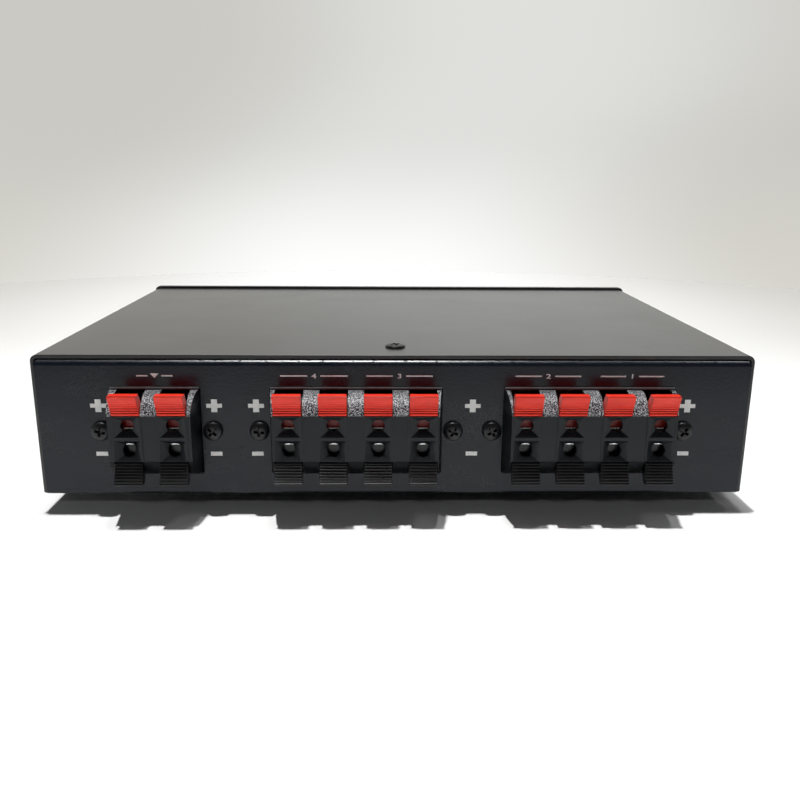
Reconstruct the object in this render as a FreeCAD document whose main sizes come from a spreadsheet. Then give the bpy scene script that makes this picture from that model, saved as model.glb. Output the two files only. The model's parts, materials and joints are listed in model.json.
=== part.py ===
import FreeCAD, Part
import math
import os
import re
import Sketcher

# Speaker selector switch: a folded steel case with spring terminals on its rear
# panel and a row of push switches behind its face plate.
#
# Frame: +X to the right seen from behind, -Y out of the rear (terminal) panel,
# +Z up. The origin lies on the surface that the feet stand on, in the middle of
# the whole product. Millimetres.
#
# "out" below is a distance outwards from the rear panel's outer face, so a point
# at out = 9 lies at y = -9 in the frame of a case piece.

SIZES = {
    # case
    "case_width": 228.6,
    "case_height": 46.0,
    "case_depth": 155.0,
    "gauge": 1.2,
    "cover_setback": 1.0,
    "cover_bend": 2.2,
    "cover_lip_bend": 0.6,
    "sheet_gap": 0.15,
    "tray_bend": 1.6,
    "panel_bend": 2.0,
    "top_flange": 10.0,
    "corner_relief": 1.2,
    "tray_flange": 9.0,
    "tab_width": 22.0,
    "tab_length": 24.0,
    "cover_screw_inset": 13.5,
    # face plate and buttons
    "plate_width": 229.2,
    "plate_height": 47.6,
    "plate_drop": 0.8,
    "plate_thickness": 4.0,
    "plate_corner": 2.0,
    "plate_edge": 0.8,
    "button_pitch": 32.0,
    "button_offset": 32.0,
    "protect_offset": 70.0,
    "button_width": 16.0,
    "button_height": 9.0,
    "button_stand": 5.0,
    "button_depth": 11.0,
    "button_edge": 0.8,
    "button_wall": 1.3,
    "socket_wall": 0.8,
    "button_travel": 3.5,
    "button_gap": 0.3,
    "window_margin": 1.2,
    # push switches
    "switch_width": 14.0,
    "switch_height": 14.0,
    "switch_length": 26.0,
    "switch_axis": 8.0,
    "switch_room": 1.0,
    "switch_pin": 1.0,
    "switch_pin_pitch": 5.0,
    "plunger_side": 4.0,
    "plunger_hold": 12.0,
    "plunger_seat": 6.0,
    "plunger_gap": 0.15,
    "press_gap": 0.05,
    # board
    "board_side_gap": 11.3,
    "board_start": 14.0,
    "board_end_gap": 3.0,
    "board_thickness": 1.6,
    "board_rise": 10.0,
    "post_side_inset": 6.0,
    "post_end_inset": 8.0,
    "post_tail_gap": 1.5,
    "post_size": 6.0,
    "tongue_size": 3.0,
    "pin_stub": 1.2,
    "pin_gap": 0.2,
    "resistor_length": 48.0,
    "resistor_side": 9.5,
    "resistor_pitch": 15.0,
    "resistor_x": 50.0,
    "resistor_y": 62.0,
    "lead_size": 0.9,
    "lead_reach": 4.0,
    "lead_root": 1.0,
    # feet
    "foot_gap": 7.0,
    "foot_size": 18.0,
    "foot_taper": 1.5,
    "foot_side_inset": 26.3,
    "foot_inset": 30.0,
    # screws
    "screw_size": 3.0,
    "screw_gap": 0.1,
    "terminal_head": 6.3,
    "terminal_head_rise": 2.1,
    "cover_head": 6.6,
    "cover_head_rise": 0.95,
    "cover_head_rim": 0.4,
    "cover_head_slope": 1.6,
    "terminal_shank": 8.0,
    "cover_shank": 6.0,
    # terminal blocks
    "pitch": 14.0,
    "input_columns": 2,
    "output_columns": 4,
    "row_offset": -0.45,
    "input_gap": 21.7,
    "output_gap": 19.4,
    "block_rise": 21.6,
    "input_margin": 7.25,
    "output_margin": 6.45,
    "cutout_height": 29.3,
    "cutout_corner": 1.0,
    "cutout_gap": 0.3,
    "nose_out": 9.4,
    "face_half": 7.3,
    "shoulder_out": 0.5,
    "shoulder_half": 13.6,
    "shoulder_radius": 9.0,
    "end_taper": 1.2,
    "block_depth": 12.0,
    "ear_thickness": 2.4,
    "ear_lip": 1.6,
    "ear_spare": 4.5,
    "screw_margin": 3.45,
    "rim_wall": 0.7,
    "mid_wall": 1.8,
    "front_inner_out": 6.2,
    "slot_gap": 0.15,
    "cut_spare": 1.0,
    # wire entries
    "wire_size": 4.1,
    "wire_half": 4.0,
    "throat_gap": 0.1,
    "funnel_width": 7.8,
    "funnel_depth": 2.6,
    "funnel_land": 0.55,
    "funnel_rim": 0.15,
    # levers
    "lever_width": 8.7,
    "lever_lean": 22.0,
    "lever_face": 7.5,
    "lever_rest_gap": 0.15,
    "lever_tip": 5.0,
    "lever_tip_rise": 0.4,
    "pivot_out": 3.4,
    "pivot_rise": 3.0,
    "hub_radius": 1.5,
    "rod_size": 1.6,
    "rod_gap": 0.05,
    "rod_hold": 0.8,
    "rod_end_gap": 0.1,
    "saddle_tilt": 15.0,
    "saddle_leg": 1.0,
    "blade_gauge": 1.7,
    "heel_rise": 6.6,
    "lever_throat": 0.6,
    "rib_count": 7,
    "rib_pitch": 0.92,
    "rib_depth": 0.35,
    "rib_start": 0.55,
    # contacts
    "contact_gauge": 0.4,
    "contact_width": 3.6,
    "lip_out": 5.85,
    "lip_rise": 2.7,
    "leaf_out": 1.7,
    "leaf_rise": 9.4,
    "leaf_root": 4.0,
    "leaf_mitre": 1.5,
    "tail_back": 17.0,
    "tail_step": 3.5,
}

TINY = 1e-6
SAME = 1e-4
ALIAS = re.compile(r"\b(" + "|".join(SIZES) + r")\b")

# Heights and places that several pieces share, as formulas on the sheet's names.
TRAY_FLOOR = "gauge"
BOARD_LOW = f"({TRAY_FLOOR} + board_rise)"
BOARD_TOP = f"({BOARD_LOW} + board_thickness)"
BUTTON_AXIS = f"({BOARD_TOP} + switch_axis)"
PANEL_TOP = "(case_height - gauge - sheet_gap)"
TRAY_HALF = "(case_width / 2 - gauge - sheet_gap)"
LEVER_REACH = "(nose_out + lever_face * sin(lever_lean))"
REAR = f"(({LEVER_REACH} - case_depth - plate_thickness - button_stand) / 2)"
CASE = ("0", REAR, "foot_gap")
LEVER_BASE = "(face_half + lever_rest_gap)"
BLADE_OUT = "(pivot_out + hub_radius)"
THROAT_HALF = "(wire_size / 2 + throat_gap)"
COVER_SCREW_Y = "(cover_screw_inset + cover_setback)"
CAP_BACK = "(case_depth + plate_thickness + button_stand - button_depth)"
SWITCH_FRONT = f"({CAP_BACK} - button_travel - switch_room)"
PLUNGER_LENGTH = f"(plunger_hold + {CAP_BACK} - {SWITCH_FRONT} + plunger_seat)"
LEAD_X = "(resistor_length / 2 + lead_reach)"
BOARD_WIDTH = "(case_width - 2 * board_side_gap)"
BOARD_END = "(case_depth - board_end_gap)"
POST_X = f"({BOARD_WIDTH} / 2 - post_side_inset)"
FOOT_X = "(case_width / 2 - foot_side_inset)"
INPUT_OPENING = "((input_columns - 1) * pitch + 2 * input_margin)"
OUTPUT_OPENING = "((output_columns - 1) * pitch + 2 * output_margin)"
ROW_WIDTH = f"({INPUT_OPENING} + input_gap + 2 * {OUTPUT_OPENING} + output_gap)"
INPUT_X = f"(row_offset - {ROW_WIDTH} / 2 + {INPUT_OPENING} / 2)"
LEFT_X = f"({INPUT_X} + {INPUT_OPENING} / 2 + input_gap + {OUTPUT_OPENING} / 2)"
RIGHT_X = f"({LEFT_X} + {OUTPUT_OPENING} + output_gap)"

doc = FreeCAD.newDocument("speaker_selector")
sheet = doc.addObject("Spreadsheet::Sheet", "sizes")
parts = []


def fill_sheet():
    """Write each driving size into the sheet, named by its alias."""
    for row, (name, size) in enumerate(SIZES.items(), start=1):
        sheet.set(f"A{row}", name)
        sheet.set(f"B{row}", str(size))
        sheet.setAlias(f"B{row}", name)
    doc.recompute()


# ---------------------------------------------------------------- helpers

def formula(text):
    """The expression for a formula written with the sheet's plain names."""
    return ALIAS.sub(r"sizes.\1", str(text))


def value(text):
    """What a formula comes to now."""
    return float(sheet.evalExpression(formula(text)))


def bind(item, **formulas):
    """Bind properties of an object to formulas."""
    for name, text in formulas.items():
        item.setExpression(name, formula(text))


def new_body(label):
    """An empty body, listed as a sub-part."""
    body = doc.addObject("PartDesign::Body", label)
    body.Label = label
    parts.append(body)
    return body


def place(item, position, turn=None):
    """Put an object at a position given by three formulas, turned (axis, degrees)."""
    if turn:
        axis, angle = turn
        item.Placement = FreeCAD.Placement(FreeCAD.Vector(), FreeCAD.Rotation(axis, angle))
    for axis_name, text in zip("xyz", position):
        item.setExpression(f"Placement.Base.{axis_name}", formula(text))


def copy_of(body, label, listed=True):
    """A further body with the same shape."""
    copy = doc.addObject("PartDesign::Body", label)
    copy.Label = label
    base = doc.addObject("PartDesign::FeatureBase", f"{label}_base")
    base.BaseFeature = body
    copy.Group = [base]
    copy.Tip = base
    if listed:
        parts.append(copy)
    return copy


def group_of(label, members):
    """One sub-part made of several separate solids."""
    group = doc.addObject("Part::Compound", label)
    group.Label = label
    group.Links = members
    parts.append(group)
    for member in members:
        if member in parts:
            parts.remove(member)
    return group


def sketch_on(body, name, plane, at="0"):
    """A sketch on a body's XY, XZ or YZ plane, moved along +Z, +Y or +X to at."""
    sketch = body.newObject("Sketcher::SketchObject", name)
    origin = next(item for item in body.Origin.OriginFeatures if item.Role == f"{plane}_Plane")
    sketch.AttachmentSupport = [(origin, "")]
    sketch.MapMode = "FlatFace"
    lift = f"-({at})" if plane == "XZ" else at
    sketch.setExpression("AttachmentOffset.Base.z", formula(lift))
    return sketch


def pin_point(sketch, geometry, corner, point):
    """Hold one end of a sketch's line at a place given by two formulas."""
    for kind, text in zip(("DistanceX", "DistanceY"), point):
        rule = Sketcher.Constraint(kind, -1, 1, geometry, corner, value(text))
        index = sketch.addConstraint(rule)
        sketch.setExpression(f"Constraints[{index}]", formula(text))


def bulged(start, end, radius):
    """An arc from start to end, under half a turn, that bulges to the right, or left if negative."""
    chord = end - start
    middle = (start + end) / 2
    right = FreeCAD.Vector(chord.y, -chord.x, 0).normalize()
    sag = abs(radius) - math.sqrt(radius ** 2 - (chord.Length / 2) ** 2)
    return Part.Arc(start, middle + right * math.copysign(sag, radius), end)


def outline(sketch, points, arcs=None):
    """A closed outline, anticlockwise; arcs gives the radius of a stretch that bulges out, or -in."""
    arcs = arcs or {}
    first = sketch.GeometryCount
    corners = [FreeCAD.Vector(value(u), value(v), 0) for u, v in points]
    count = len(corners)
    ends = []
    for index, start in enumerate(corners):
        end = corners[(index + 1) % count]
        if index in arcs:
            radius = value(arcs[index])
            added = sketch.addGeometry(bulged(start, end, radius), False)
            number = sketch.addConstraint(Sketcher.Constraint("Radius", added, abs(radius)))
            sketch.setExpression(f"Constraints[{number}]", formula(f"abs({arcs[index]})"))
            forward = sketch.getPoint(added, 1).distanceToPoint(start) < TINY
            ends.append((1, 2) if forward else (2, 1))
        else:
            sketch.addGeometry(Part.LineSegment(start, end), False)
            ends.append((1, 2))
    for index, point in enumerate(points):
        following = (index + 1) % count
        sketch.addConstraint(Sketcher.Constraint(
            "Coincident", first + index, ends[index][1], first + following, ends[following][0]))
        pin_point(sketch, first + index, ends[index][0], point)
    return sketch


def rectangle(sketch, left, right, low, high):
    """A rectangle between four formulas."""
    return outline(sketch, [(left, low), (right, low), (right, high), (left, high)])


def centred(sketch, width, height, u="0", v="0"):
    """A rectangle of a width and height about a point."""
    return rectangle(
        sketch, f"{u} - ({width}) / 2", f"{u} + ({width}) / 2",
        f"{v} - ({height}) / 2", f"{v} + ({height}) / 2")


def circle(sketch, u, v, size):
    """A circle of a diameter about a point."""
    centre = FreeCAD.Vector(value(u), value(v), 0)
    ring = Part.Circle(centre, FreeCAD.Vector(0, 0, 1), value(size) / 2)
    added = sketch.addGeometry(ring, False)
    index = sketch.addConstraint(Sketcher.Constraint("Diameter", added, value(size)))
    sketch.setExpression(f"Constraints[{index}]", formula(size))
    pin_point(sketch, added, 3, (u, v))
    return sketch


def pad(body, sketch, length, both=False, reverse=False):
    """Raise a sketch; on an XZ plane reverse raises it towards +Y."""
    feature = body.newObject("PartDesign::Pad", f"{sketch.Name}_pad")
    feature.Profile = sketch
    feature.Midplane = both
    feature.Reversed = reverse
    bind(feature, Length=length)
    sketch.Visibility = False
    doc.recompute()
    return feature


def pocket(body, sketch, length):
    """Cut a sketch, half of length each way from its plane, and see that it cuts."""
    before = body.Shape.Volume
    feature = body.newObject("PartDesign::Pocket", f"{sketch.Name}_cut")
    feature.Profile = sketch
    feature.Midplane = True
    bind(feature, Length=length)
    doc.recompute()
    if not body.Shape.Volume < before - TINY:
        raise RuntimeError(f"{body.Label}: {sketch.Name} cuts nothing")
    return feature


def dress(body, kind, name, chosen):
    """A fillet or chamfer on the edges that chosen(edge) picks from a body's shape so far."""
    edges = [f"Edge{n}" for n, edge in enumerate(body.Shape.Edges, start=1) if chosen(edge)]
    if not edges:
        raise RuntimeError(f"{body.Label}: {name} has no edge")
    feature = body.newObject(f"PartDesign::{kind}", name)
    feature.Base = (feature.BaseFeature, edges)
    return feature


def fillet(body, name, radius, chosen):
    """Round the chosen edges."""
    bind(dress(body, "Fillet", name, chosen), Radius=radius)
    doc.recompute()


def chamfer(body, name, size, chosen):
    """Bevel the chosen edges."""
    bind(dress(body, "Chamfer", name, chosen), Size=size)
    doc.recompute()


def near(first, second):
    """Whether two lengths are the same."""
    return abs(first - second) < SAME


def runs_along(edge, axis):
    """Whether an edge is straight and lies along an axis, "x", "y" or "z"."""
    if edge.Curve.TypeId != "Part::GeomLine":
        return False
    direction = edge.Curve.Direction
    return near(abs(getattr(direction, axis)), 1)


def middle_of(edge):
    """An edge's middle point."""
    return edge.CenterOfMass


def pattern(body, name, features, axis, length, count):
    """Repeat features along an axis of the body's origin."""
    repeat = body.newObject("PartDesign::LinearPattern", name)
    repeat.Originals = features
    direction = next(item for item in body.Origin.OriginFeatures if item.Role == f"{axis}_Axis")
    repeat.Direction = (direction, [""])
    bind(repeat, Length=length)
    repeat.setExpression("Occurrences", formula(count))
    body.Tip = repeat
    doc.recompute()
    return repeat


# ---------------------------------------------------------------- places

def block_places():
    """The terminal blocks: name, centre in X, number of columns and width of the opening."""
    return (
        ("input", INPUT_X, "input_columns", INPUT_OPENING),
        ("left", LEFT_X, "output_columns", OUTPUT_OPENING),
        ("right", RIGHT_X, "output_columns", OUTPUT_OPENING),
    )


def screw_reach(opening):
    """How far a block's two screws are from its centre."""
    return f"({opening} / 2 + screw_margin)"


def screw_places():
    """The places in X of the six screws that hold the terminal blocks."""
    return [f"({centre} + {side} * {screw_reach(opening)})"
            for _, centre, _, opening in block_places() for side in (-1, 1)]


def column_place(centre, columns, index):
    """The place in X of one column of a block."""
    return f"({centre} + ({index} - ({columns} - 1) / 2) * pitch)"


def button_places():
    """The buttons, from the far left of the face plate: name and place in X."""
    selectors = [(str(n + 1), f"(button_offset - {n} * button_pitch)") for n in range(4)]
    return selectors + [("protect", "(protect_offset)")]


def foot_places():
    """The four feet: X and Y in the case's frame."""
    return [(x, y) for x in (f"-{FOOT_X}", FOOT_X)
            for y in ("foot_inset", "(case_depth - foot_inset)")]


def post_places():
    """The four posts under the board: X and Y in the case's frame."""
    rear = "(tail_back + tail_step + post_tail_gap + post_size / 2)"
    return [(x, y) for x in (f"-{POST_X}", POST_X) for y in (rear, f"({BOARD_END} - post_end_inset)")]


# ---------------------------------------------------------------- case

def make_tray():
    """The steel tray: floor, rear panel bent over at its top, front wall and low side flanges."""
    body = new_body("chassis_tray")
    walls = sketch_on(body, "walls", "YZ")
    outline(walls, [
        ("0", "0"), ("case_depth", "0"),
        ("case_depth", PANEL_TOP), ("case_depth - gauge", PANEL_TOP),
        ("case_depth - gauge", TRAY_FLOOR), ("gauge", TRAY_FLOOR),
        ("gauge", f"{PANEL_TOP} - gauge"), ("top_flange", f"{PANEL_TOP} - gauge"),
        ("top_flange", PANEL_TOP), ("0", PANEL_TOP)])
    pad(body, walls, f"2 * {TRAY_HALF}", both=True)
    depth, gauge, top = value("case_depth"), value("gauge"), value(PANEL_TOP)
    fillet(body, "outer_bends", "tray_bend", lambda edge: runs_along(edge, "x")
           and near(middle_of(edge).z, 0)
           and (near(middle_of(edge).y, 0) or near(middle_of(edge).y, depth)))
    fillet(body, "panel_bend", "panel_bend", lambda edge: runs_along(edge, "x")
           and near(middle_of(edge).z, top) and near(middle_of(edge).y, 0))
    fillet(body, "panel_inner_bend", "panel_bend - gauge", lambda edge: runs_along(edge, "x")
           and near(middle_of(edge).z, top - gauge) and near(middle_of(edge).y, gauge))
    relieve_corners(body)
    flanges = sketch_on(body, "flanges", "XZ", "2 * gauge")
    flange_top = f"{TRAY_FLOOR} + tray_flange"
    rectangle(flanges, f"-{TRAY_HALF}", f"gauge - {TRAY_HALF}", TRAY_FLOOR, flange_top)
    rectangle(flanges, f"{TRAY_HALF} - gauge", TRAY_HALF, TRAY_FLOOR, flange_top)
    pad(body, flanges, "case_depth - 4 * gauge", reverse=True)
    tab = sketch_on(body, "tab", "YZ")
    rectangle(tab, "panel_bend", "tab_length", f"{PANEL_TOP} - gauge", PANEL_TOP)
    pad(body, tab, "tab_width", both=True)
    cut_terminal_openings(body)
    cut_tray_holes(body)


def relieve_corners(body):
    """Cut the tray's top corners back, clear of the bends inside the cover."""
    corners = sketch_on(body, "corner_reliefs", "XZ", "case_depth / 2")
    low = f"{PANEL_TOP} - corner_relief"
    outline(corners, [(f"{TRAY_HALF} - corner_relief", PANEL_TOP), (TRAY_HALF, low),
                      (TRAY_HALF, PANEL_TOP)])
    outline(corners, [(f"corner_relief - {TRAY_HALF}", PANEL_TOP), (f"-{TRAY_HALF}", PANEL_TOP),
                      (f"-{TRAY_HALF}", low)])
    pocket(body, corners, "2 * case_depth")


def cut_terminal_openings(body):
    """The three rounded openings that the terminal blocks stand through, and their screw holes."""
    openings = sketch_on(body, "terminal_openings", "XZ")
    for _, centre, _, opening in block_places():
        centred(openings, opening, "cutout_height", centre, "block_rise")
    pocket(body, openings, "4 * gauge")
    panel_middle = value("gauge / 2")
    levels = [value(f"block_rise + {side} * cutout_height / 2") for side in (-1, 1)]
    fillet(body, "opening_corners", "cutout_corner", lambda edge: runs_along(edge, "y")
           and near(middle_of(edge).y, panel_middle)
           and any(near(middle_of(edge).z, level) for level in levels))
    holes = sketch_on(body, "terminal_screw_holes", "XZ")
    for across in screw_places():
        circle(holes, across, "block_rise", "screw_size + 2 * screw_gap")
    pocket(body, holes, "4 * gauge")


def cut_tray_holes(body):
    """The hole for the cover screw and the front wall's windows for the buttons."""
    lock = sketch_on(body, "cover_screw_hole", "XY", PANEL_TOP)
    circle(lock, "0", COVER_SCREW_Y, "screw_size + 2 * screw_gap")
    pocket(body, lock, "4 * gauge")
    front = sketch_on(body, "button_openings", "XZ", "case_depth")
    for _, across in button_places():
        centred(front, "button_width + 2 * window_margin", "button_height + 2 * window_margin",
                across, BUTTON_AXIS)
    pocket(body, front, "4 * gauge")


def make_cover():
    """The folded cover: top and two sides that hide the tray's flanges."""
    body = new_body("top_cover")
    half = "case_width / 2"
    section = sketch_on(body, "section", "XZ", "cover_setback")
    outline(section, [
        (f"-{half}", "0"), (f"gauge - {half}", "0"),
        (f"gauge - {half}", "case_height - gauge"), (f"{half} - gauge", "case_height - gauge"),
        (f"{half} - gauge", "0"), (half, "0"),
        (half, "case_height"), (f"-{half}", "case_height")])
    pad(body, section, "case_depth - cover_setback", reverse=True)
    side, top = value(half), value("case_height")
    gauge = value("gauge")
    fillet(body, "top_bends", "cover_bend", lambda edge: runs_along(edge, "y")
           and near(abs(middle_of(edge).x), side) and near(middle_of(edge).z, top))
    fillet(body, "inner_bends", "cover_bend - gauge", lambda edge: runs_along(edge, "y")
           and near(abs(middle_of(edge).x), side - gauge) and near(middle_of(edge).z, top - gauge))
    fillet(body, "side_lips", "cover_lip_bend", lambda edge: runs_along(edge, "y")
           and near(abs(middle_of(edge).x), side) and near(middle_of(edge).z, 0))
    hole = sketch_on(body, "screw_hole", "XY", "case_height")
    circle(hole, "0", COVER_SCREW_Y, "screw_size + 2 * screw_gap")
    pocket(body, hole, "4 * gauge")


def make_face_plate():
    """The face plate, stuck to the front wall, with a window for each button."""
    body = new_body("face_plate")
    face = sketch_on(body, "face", "XZ", "case_depth")
    rectangle(face, "-plate_width / 2", "plate_width / 2", "-plate_drop", "plate_height - plate_drop")
    pad(body, face, "plate_thickness", reverse=True)
    half, front = value("plate_width / 2"), value("case_depth + plate_thickness")
    fillet(body, "corners", "plate_corner", lambda edge: runs_along(edge, "y")
           and near(abs(middle_of(edge).x), half))
    chamfer(body, "front_edge", "plate_edge", lambda edge: near(edge.BoundBox.YMin, front))
    windows = sketch_on(body, "windows", "XZ", "case_depth")
    for _, across in button_places():
        centred(windows, "button_width + 2 * button_gap", "button_height + 2 * button_gap",
                across, BUTTON_AXIS)
    pocket(body, windows, "4 * plate_thickness")


def make_feet():
    """Four tapered rubber feet stuck to the tray's underside."""
    first = new_body("foot_1")
    half = sketch_on(first, "half_section", "XZ")
    outline(half, [("0", "0"), ("foot_size / 2 - foot_taper", "0"),
                   ("foot_size / 2", "foot_gap"), ("0", "foot_gap")])
    turn_body(first, half)
    feet = [first] + [copy_of(first, f"foot_{n}") for n in (2, 3, 4)]
    for foot, (across, along) in zip(feet, foot_places()):
        place(foot, (across, f"{REAR} + {along}", "0"))


def turn_body(body, half):
    """A turned solid: a half section taken round the Z axis."""
    feature = body.newObject("PartDesign::Revolution", f"{half.Name}_turned")
    feature.Profile = half
    axis = next(item for item in body.Origin.OriginFeatures if item.Role == "Z_Axis")
    feature.ReferenceAxis = (axis, [""])
    feature.Angle = 360
    doc.recompute()


# ---------------------------------------------------------------- screws

def make_screw(label, head, shank, edge):
    """A screw: its seat at the origin, its shank along +Z, its head's edge from given points."""
    body = doc.addObject("PartDesign::Body", label)
    half = sketch_on(body, f"{label}_half", "XZ")
    outline(half, [("0", f"-{head}_rise")] + edge + [
        (f"{head} / 2", "0"), ("screw_size / 2", "0"), ("screw_size / 2", shank), ("0", shank)])
    turn_body(body, half)
    return body


def make_screws():
    """The six screws of the terminal blocks, and the one that holds the cover."""
    across_axis = FreeCAD.Vector(1, 0, 0)
    flat_edge = [("terminal_head / 2", "-terminal_head_rise")]
    first = make_screw("terminal_screw_1", "terminal_head", "terminal_shank", flat_edge)
    places = screw_places()
    screws = [first] + [copy_of(first, f"terminal_screw_{n}", listed=False)
                        for n in range(2, len(places) + 1)]
    for screw, across in zip(screws, places):
        place(screw, (across, REAR, "foot_gap + block_rise"), (across_axis, -90))
    group_of("terminal_screws", screws)
    sloped_edge = [("cover_head / 2 - cover_head_slope", "-cover_head_rise"),
                   ("cover_head / 2", "-cover_head_rim")]
    lock = make_screw("cover_screw", "cover_head", "cover_shank", sloped_edge)
    parts.append(lock)
    place(lock, ("0", f"{REAR} + {COVER_SCREW_Y}", "foot_gap + case_height"), (across_axis, 180))


# ---------------------------------------------------------------- terminals

def make_block(name, centre, columns, opening):
    """A moulded terminal block: its nose stands through the panel and each column has two slots."""
    body = new_body(f"terminal_block_{name}")
    half = "(cutout_height / 2 - cutout_gap)"
    side = sketch_on(body, f"{name}_side", "YZ")
    outline(side, [
        ("-nose_out", "-face_half"), ("-shoulder_out", "-shoulder_half"),
        ("-shoulder_out", f"-{half}"), ("block_depth", f"-{half}"),
        ("block_depth", half), ("-shoulder_out", half),
        ("-shoulder_out", "shoulder_half"), ("-nose_out", "face_half")],
        arcs={0: "shoulder_radius", 6: "shoulder_radius"})
    pad(body, side, f"{opening} - 2 * cutout_gap", both=True)
    ears = sketch_on(body, f"{name}_ears", "XZ", "gauge")
    centred(ears, f"2 * ({screw_reach(opening)} + ear_spare)", "cutout_height + 2 * ear_lip")
    pad(body, ears, "ear_thickness", reverse=True)
    taper_ends(body, name, opening)
    cut_columns(body, name, columns)
    holes = sketch_on(body, f"{name}_ear_holes", "XZ", "gauge + ear_thickness / 2")
    for way in (-1, 1):
        circle(holes, f"{way} * {screw_reach(opening)}", "0", "screw_size + screw_gap")
    pocket(body, holes, "2 * ear_thickness")
    place(body, (centre, REAR, "foot_gap + block_rise"))


def taper_ends(body, name, opening):
    """Narrow the nose towards its face at both ends."""
    wedges = sketch_on(body, f"{name}_end_taper", "XY")
    wide, beyond = f"({opening} / 2 - cutout_gap)", "-nose_out - cut_spare"
    outline(wedges, [
        (f"{wide} - end_taper", beyond), (f"{wide} + cut_spare", beyond),
        (f"{wide} + cut_spare", "0"), (wide, "0"), (f"{wide} - end_taper", "-nose_out")])
    outline(wedges, [
        (f"-{wide} - cut_spare", beyond), (f"end_taper - {wide}", beyond),
        (f"end_taper - {wide}", "-nose_out"), (f"-{wide}", "0"), (f"-{wide} - cut_spare", "0")])
    pocket(body, wedges, "2 * cutout_height")


def cut_columns(body, name, columns):
    """Lever slots and wire entries, one column repeated, and the grooves for the hinge rods."""
    first = f"(0 - ({columns} - 1) * pitch / 2)"
    slot_top = "(cutout_height / 2 - cutout_gap - rim_wall)"
    slots = sketch_on(body, f"{name}_slots", "YZ", first)
    outline(slots, [
        ("-front_inner_out", "mid_wall / 2"), ("block_depth + cut_spare", "mid_wall / 2"),
        ("block_depth + cut_spare", slot_top), ("-nose_out - cut_spare", slot_top),
        ("-nose_out - cut_spare", "face_half"), ("-front_inner_out", "face_half")])
    outline(slots, [
        ("-front_inner_out", "-face_half"), ("-nose_out - cut_spare", "-face_half"),
        ("-nose_out - cut_spare", f"-{slot_top}"), ("block_depth + cut_spare", f"-{slot_top}"),
        ("block_depth + cut_spare", "-mid_wall / 2"), ("-front_inner_out", "-mid_wall / 2")])
    features = [pocket(body, slots, "lever_width + 2 * slot_gap")]
    for way, level in ((1, "upper"), (-1, "lower")):
        features.append(cut_funnel(body, f"{name}_{level}", first, way))
    holes = sketch_on(body, f"{name}_wire_holes", "XZ", "-(nose_out + front_inner_out) / 2")
    for way in (-1, 1):
        circle(holes, first, f"{way} * wire_half", "wire_size")
    features.append(pocket(body, holes, "nose_out - front_inner_out + cut_spare"))
    pattern(body, f"{name}_columns", features, "X", f"({columns} - 1) * pitch", columns)
    grooves = sketch_on(body, f"{name}_rod_grooves", "YZ")
    for way in (-1, 1):
        reach = "(rod_size / 2 + rod_gap)"
        rectangle(grooves, f"-pivot_out - {reach}", "block_depth + cut_spare",
                  f"{way} * pivot_rise - {reach}", f"{way} * pivot_rise + {reach}")
    pocket(body, grooves, rod_groove(columns))


def rod_groove(columns):
    """The length of the grooves that a block's hinge rods lie in."""
    return f"(({columns} - 1) * pitch + lever_width + 2 * (slot_gap + rod_hold))"


def cut_funnel(body, name, across, way):
    """The four-sided funnel that leads a wire into its hole."""
    before = body.Shape.Volume
    low, high = sorted((f"{way} * funnel_land", f"{way} * (face_half - funnel_rim)"), key=value)
    feature = body.newObject("PartDesign::SubtractiveWedge", f"{name}_funnel")
    bind(feature, Ymin="-nose_out", Ymax="funnel_depth - nose_out",
         Xmin=f"{across} - funnel_width / 2", Xmax=f"{across} + funnel_width / 2", Zmin=low, Zmax=high,
         X2min=f"{across} - {THROAT_HALF}", X2max=f"{across} + {THROAT_HALF}",
         Z2min=f"{way} * wire_half - {THROAT_HALF}", Z2max=f"{way} * wire_half + {THROAT_HALF}")
    doc.recompute()
    if not body.Shape.Volume < before - TINY:
        raise RuntimeError(f"{body.Label}: {name} cuts nothing")
    return feature


def make_hinge_rods():
    """Two steel rods for each block, which its upper and its lower levers rock on."""
    for name, centre, columns, _ in block_places():
        rods = []
        for way, level in ((1, "upper"), (-1, "lower")):
            rod = doc.addObject("PartDesign::Body", f"rod_{name}_{level}")
            section = sketch_on(rod, f"rod_{name}_{level}_section", "YZ")
            circle(section, "-pivot_out", f"{way} * pivot_rise", "rod_size")
            pad(rod, section, f"{rod_groove(columns)} - 2 * rod_end_gap", both=True)
            place(rod, (centre, REAR, "foot_gap + block_rise"))
            rods.append(rod)
        group_of(f"hinge_rods_{name}", rods)


def make_lever():
    """A spring terminal's lever: ribbed tab, blade behind the wire hole and saddle over its rod."""
    body = new_body("lever_input_a_red")
    side = sketch_on(body, "lever_side", "YZ")
    tip_rise = f"({LEVER_BASE} + lever_face * cos(lever_lean))"
    saddle = "(rod_size / 2 + rod_gap)"
    reach, seat = f"({saddle} * cos(saddle_tilt))", f"(pivot_rise + {saddle} * sin(saddle_tilt))"
    foot = "(pivot_rise - saddle_leg)"
    outline(side, [
        (f"-{BLADE_OUT}", foot), (f"-pivot_out - {reach}", foot), (f"-pivot_out - {reach}", seat),
        (f"{reach} - pivot_out", seat), (f"{reach} - pivot_out", foot),
        ("hub_radius - pivot_out", foot), ("hub_radius - pivot_out", "pivot_rise"),
        (f"blade_gauge - {BLADE_OUT}", "heel_rise"),
        (f"lever_tip - {LEVER_REACH}", f"{tip_rise} + lever_tip_rise"),
        (f"-{LEVER_REACH}", tip_rise)] + rib_points() + [
        ("-nose_out", LEVER_BASE), (f"-{BLADE_OUT} - lever_throat", LEVER_BASE),
        (f"-{BLADE_OUT}", f"{LEVER_BASE} - lever_throat")],
        arcs={2: f"-{saddle}"})
    pad(body, side, "lever_width", both=True)
    return body


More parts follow.
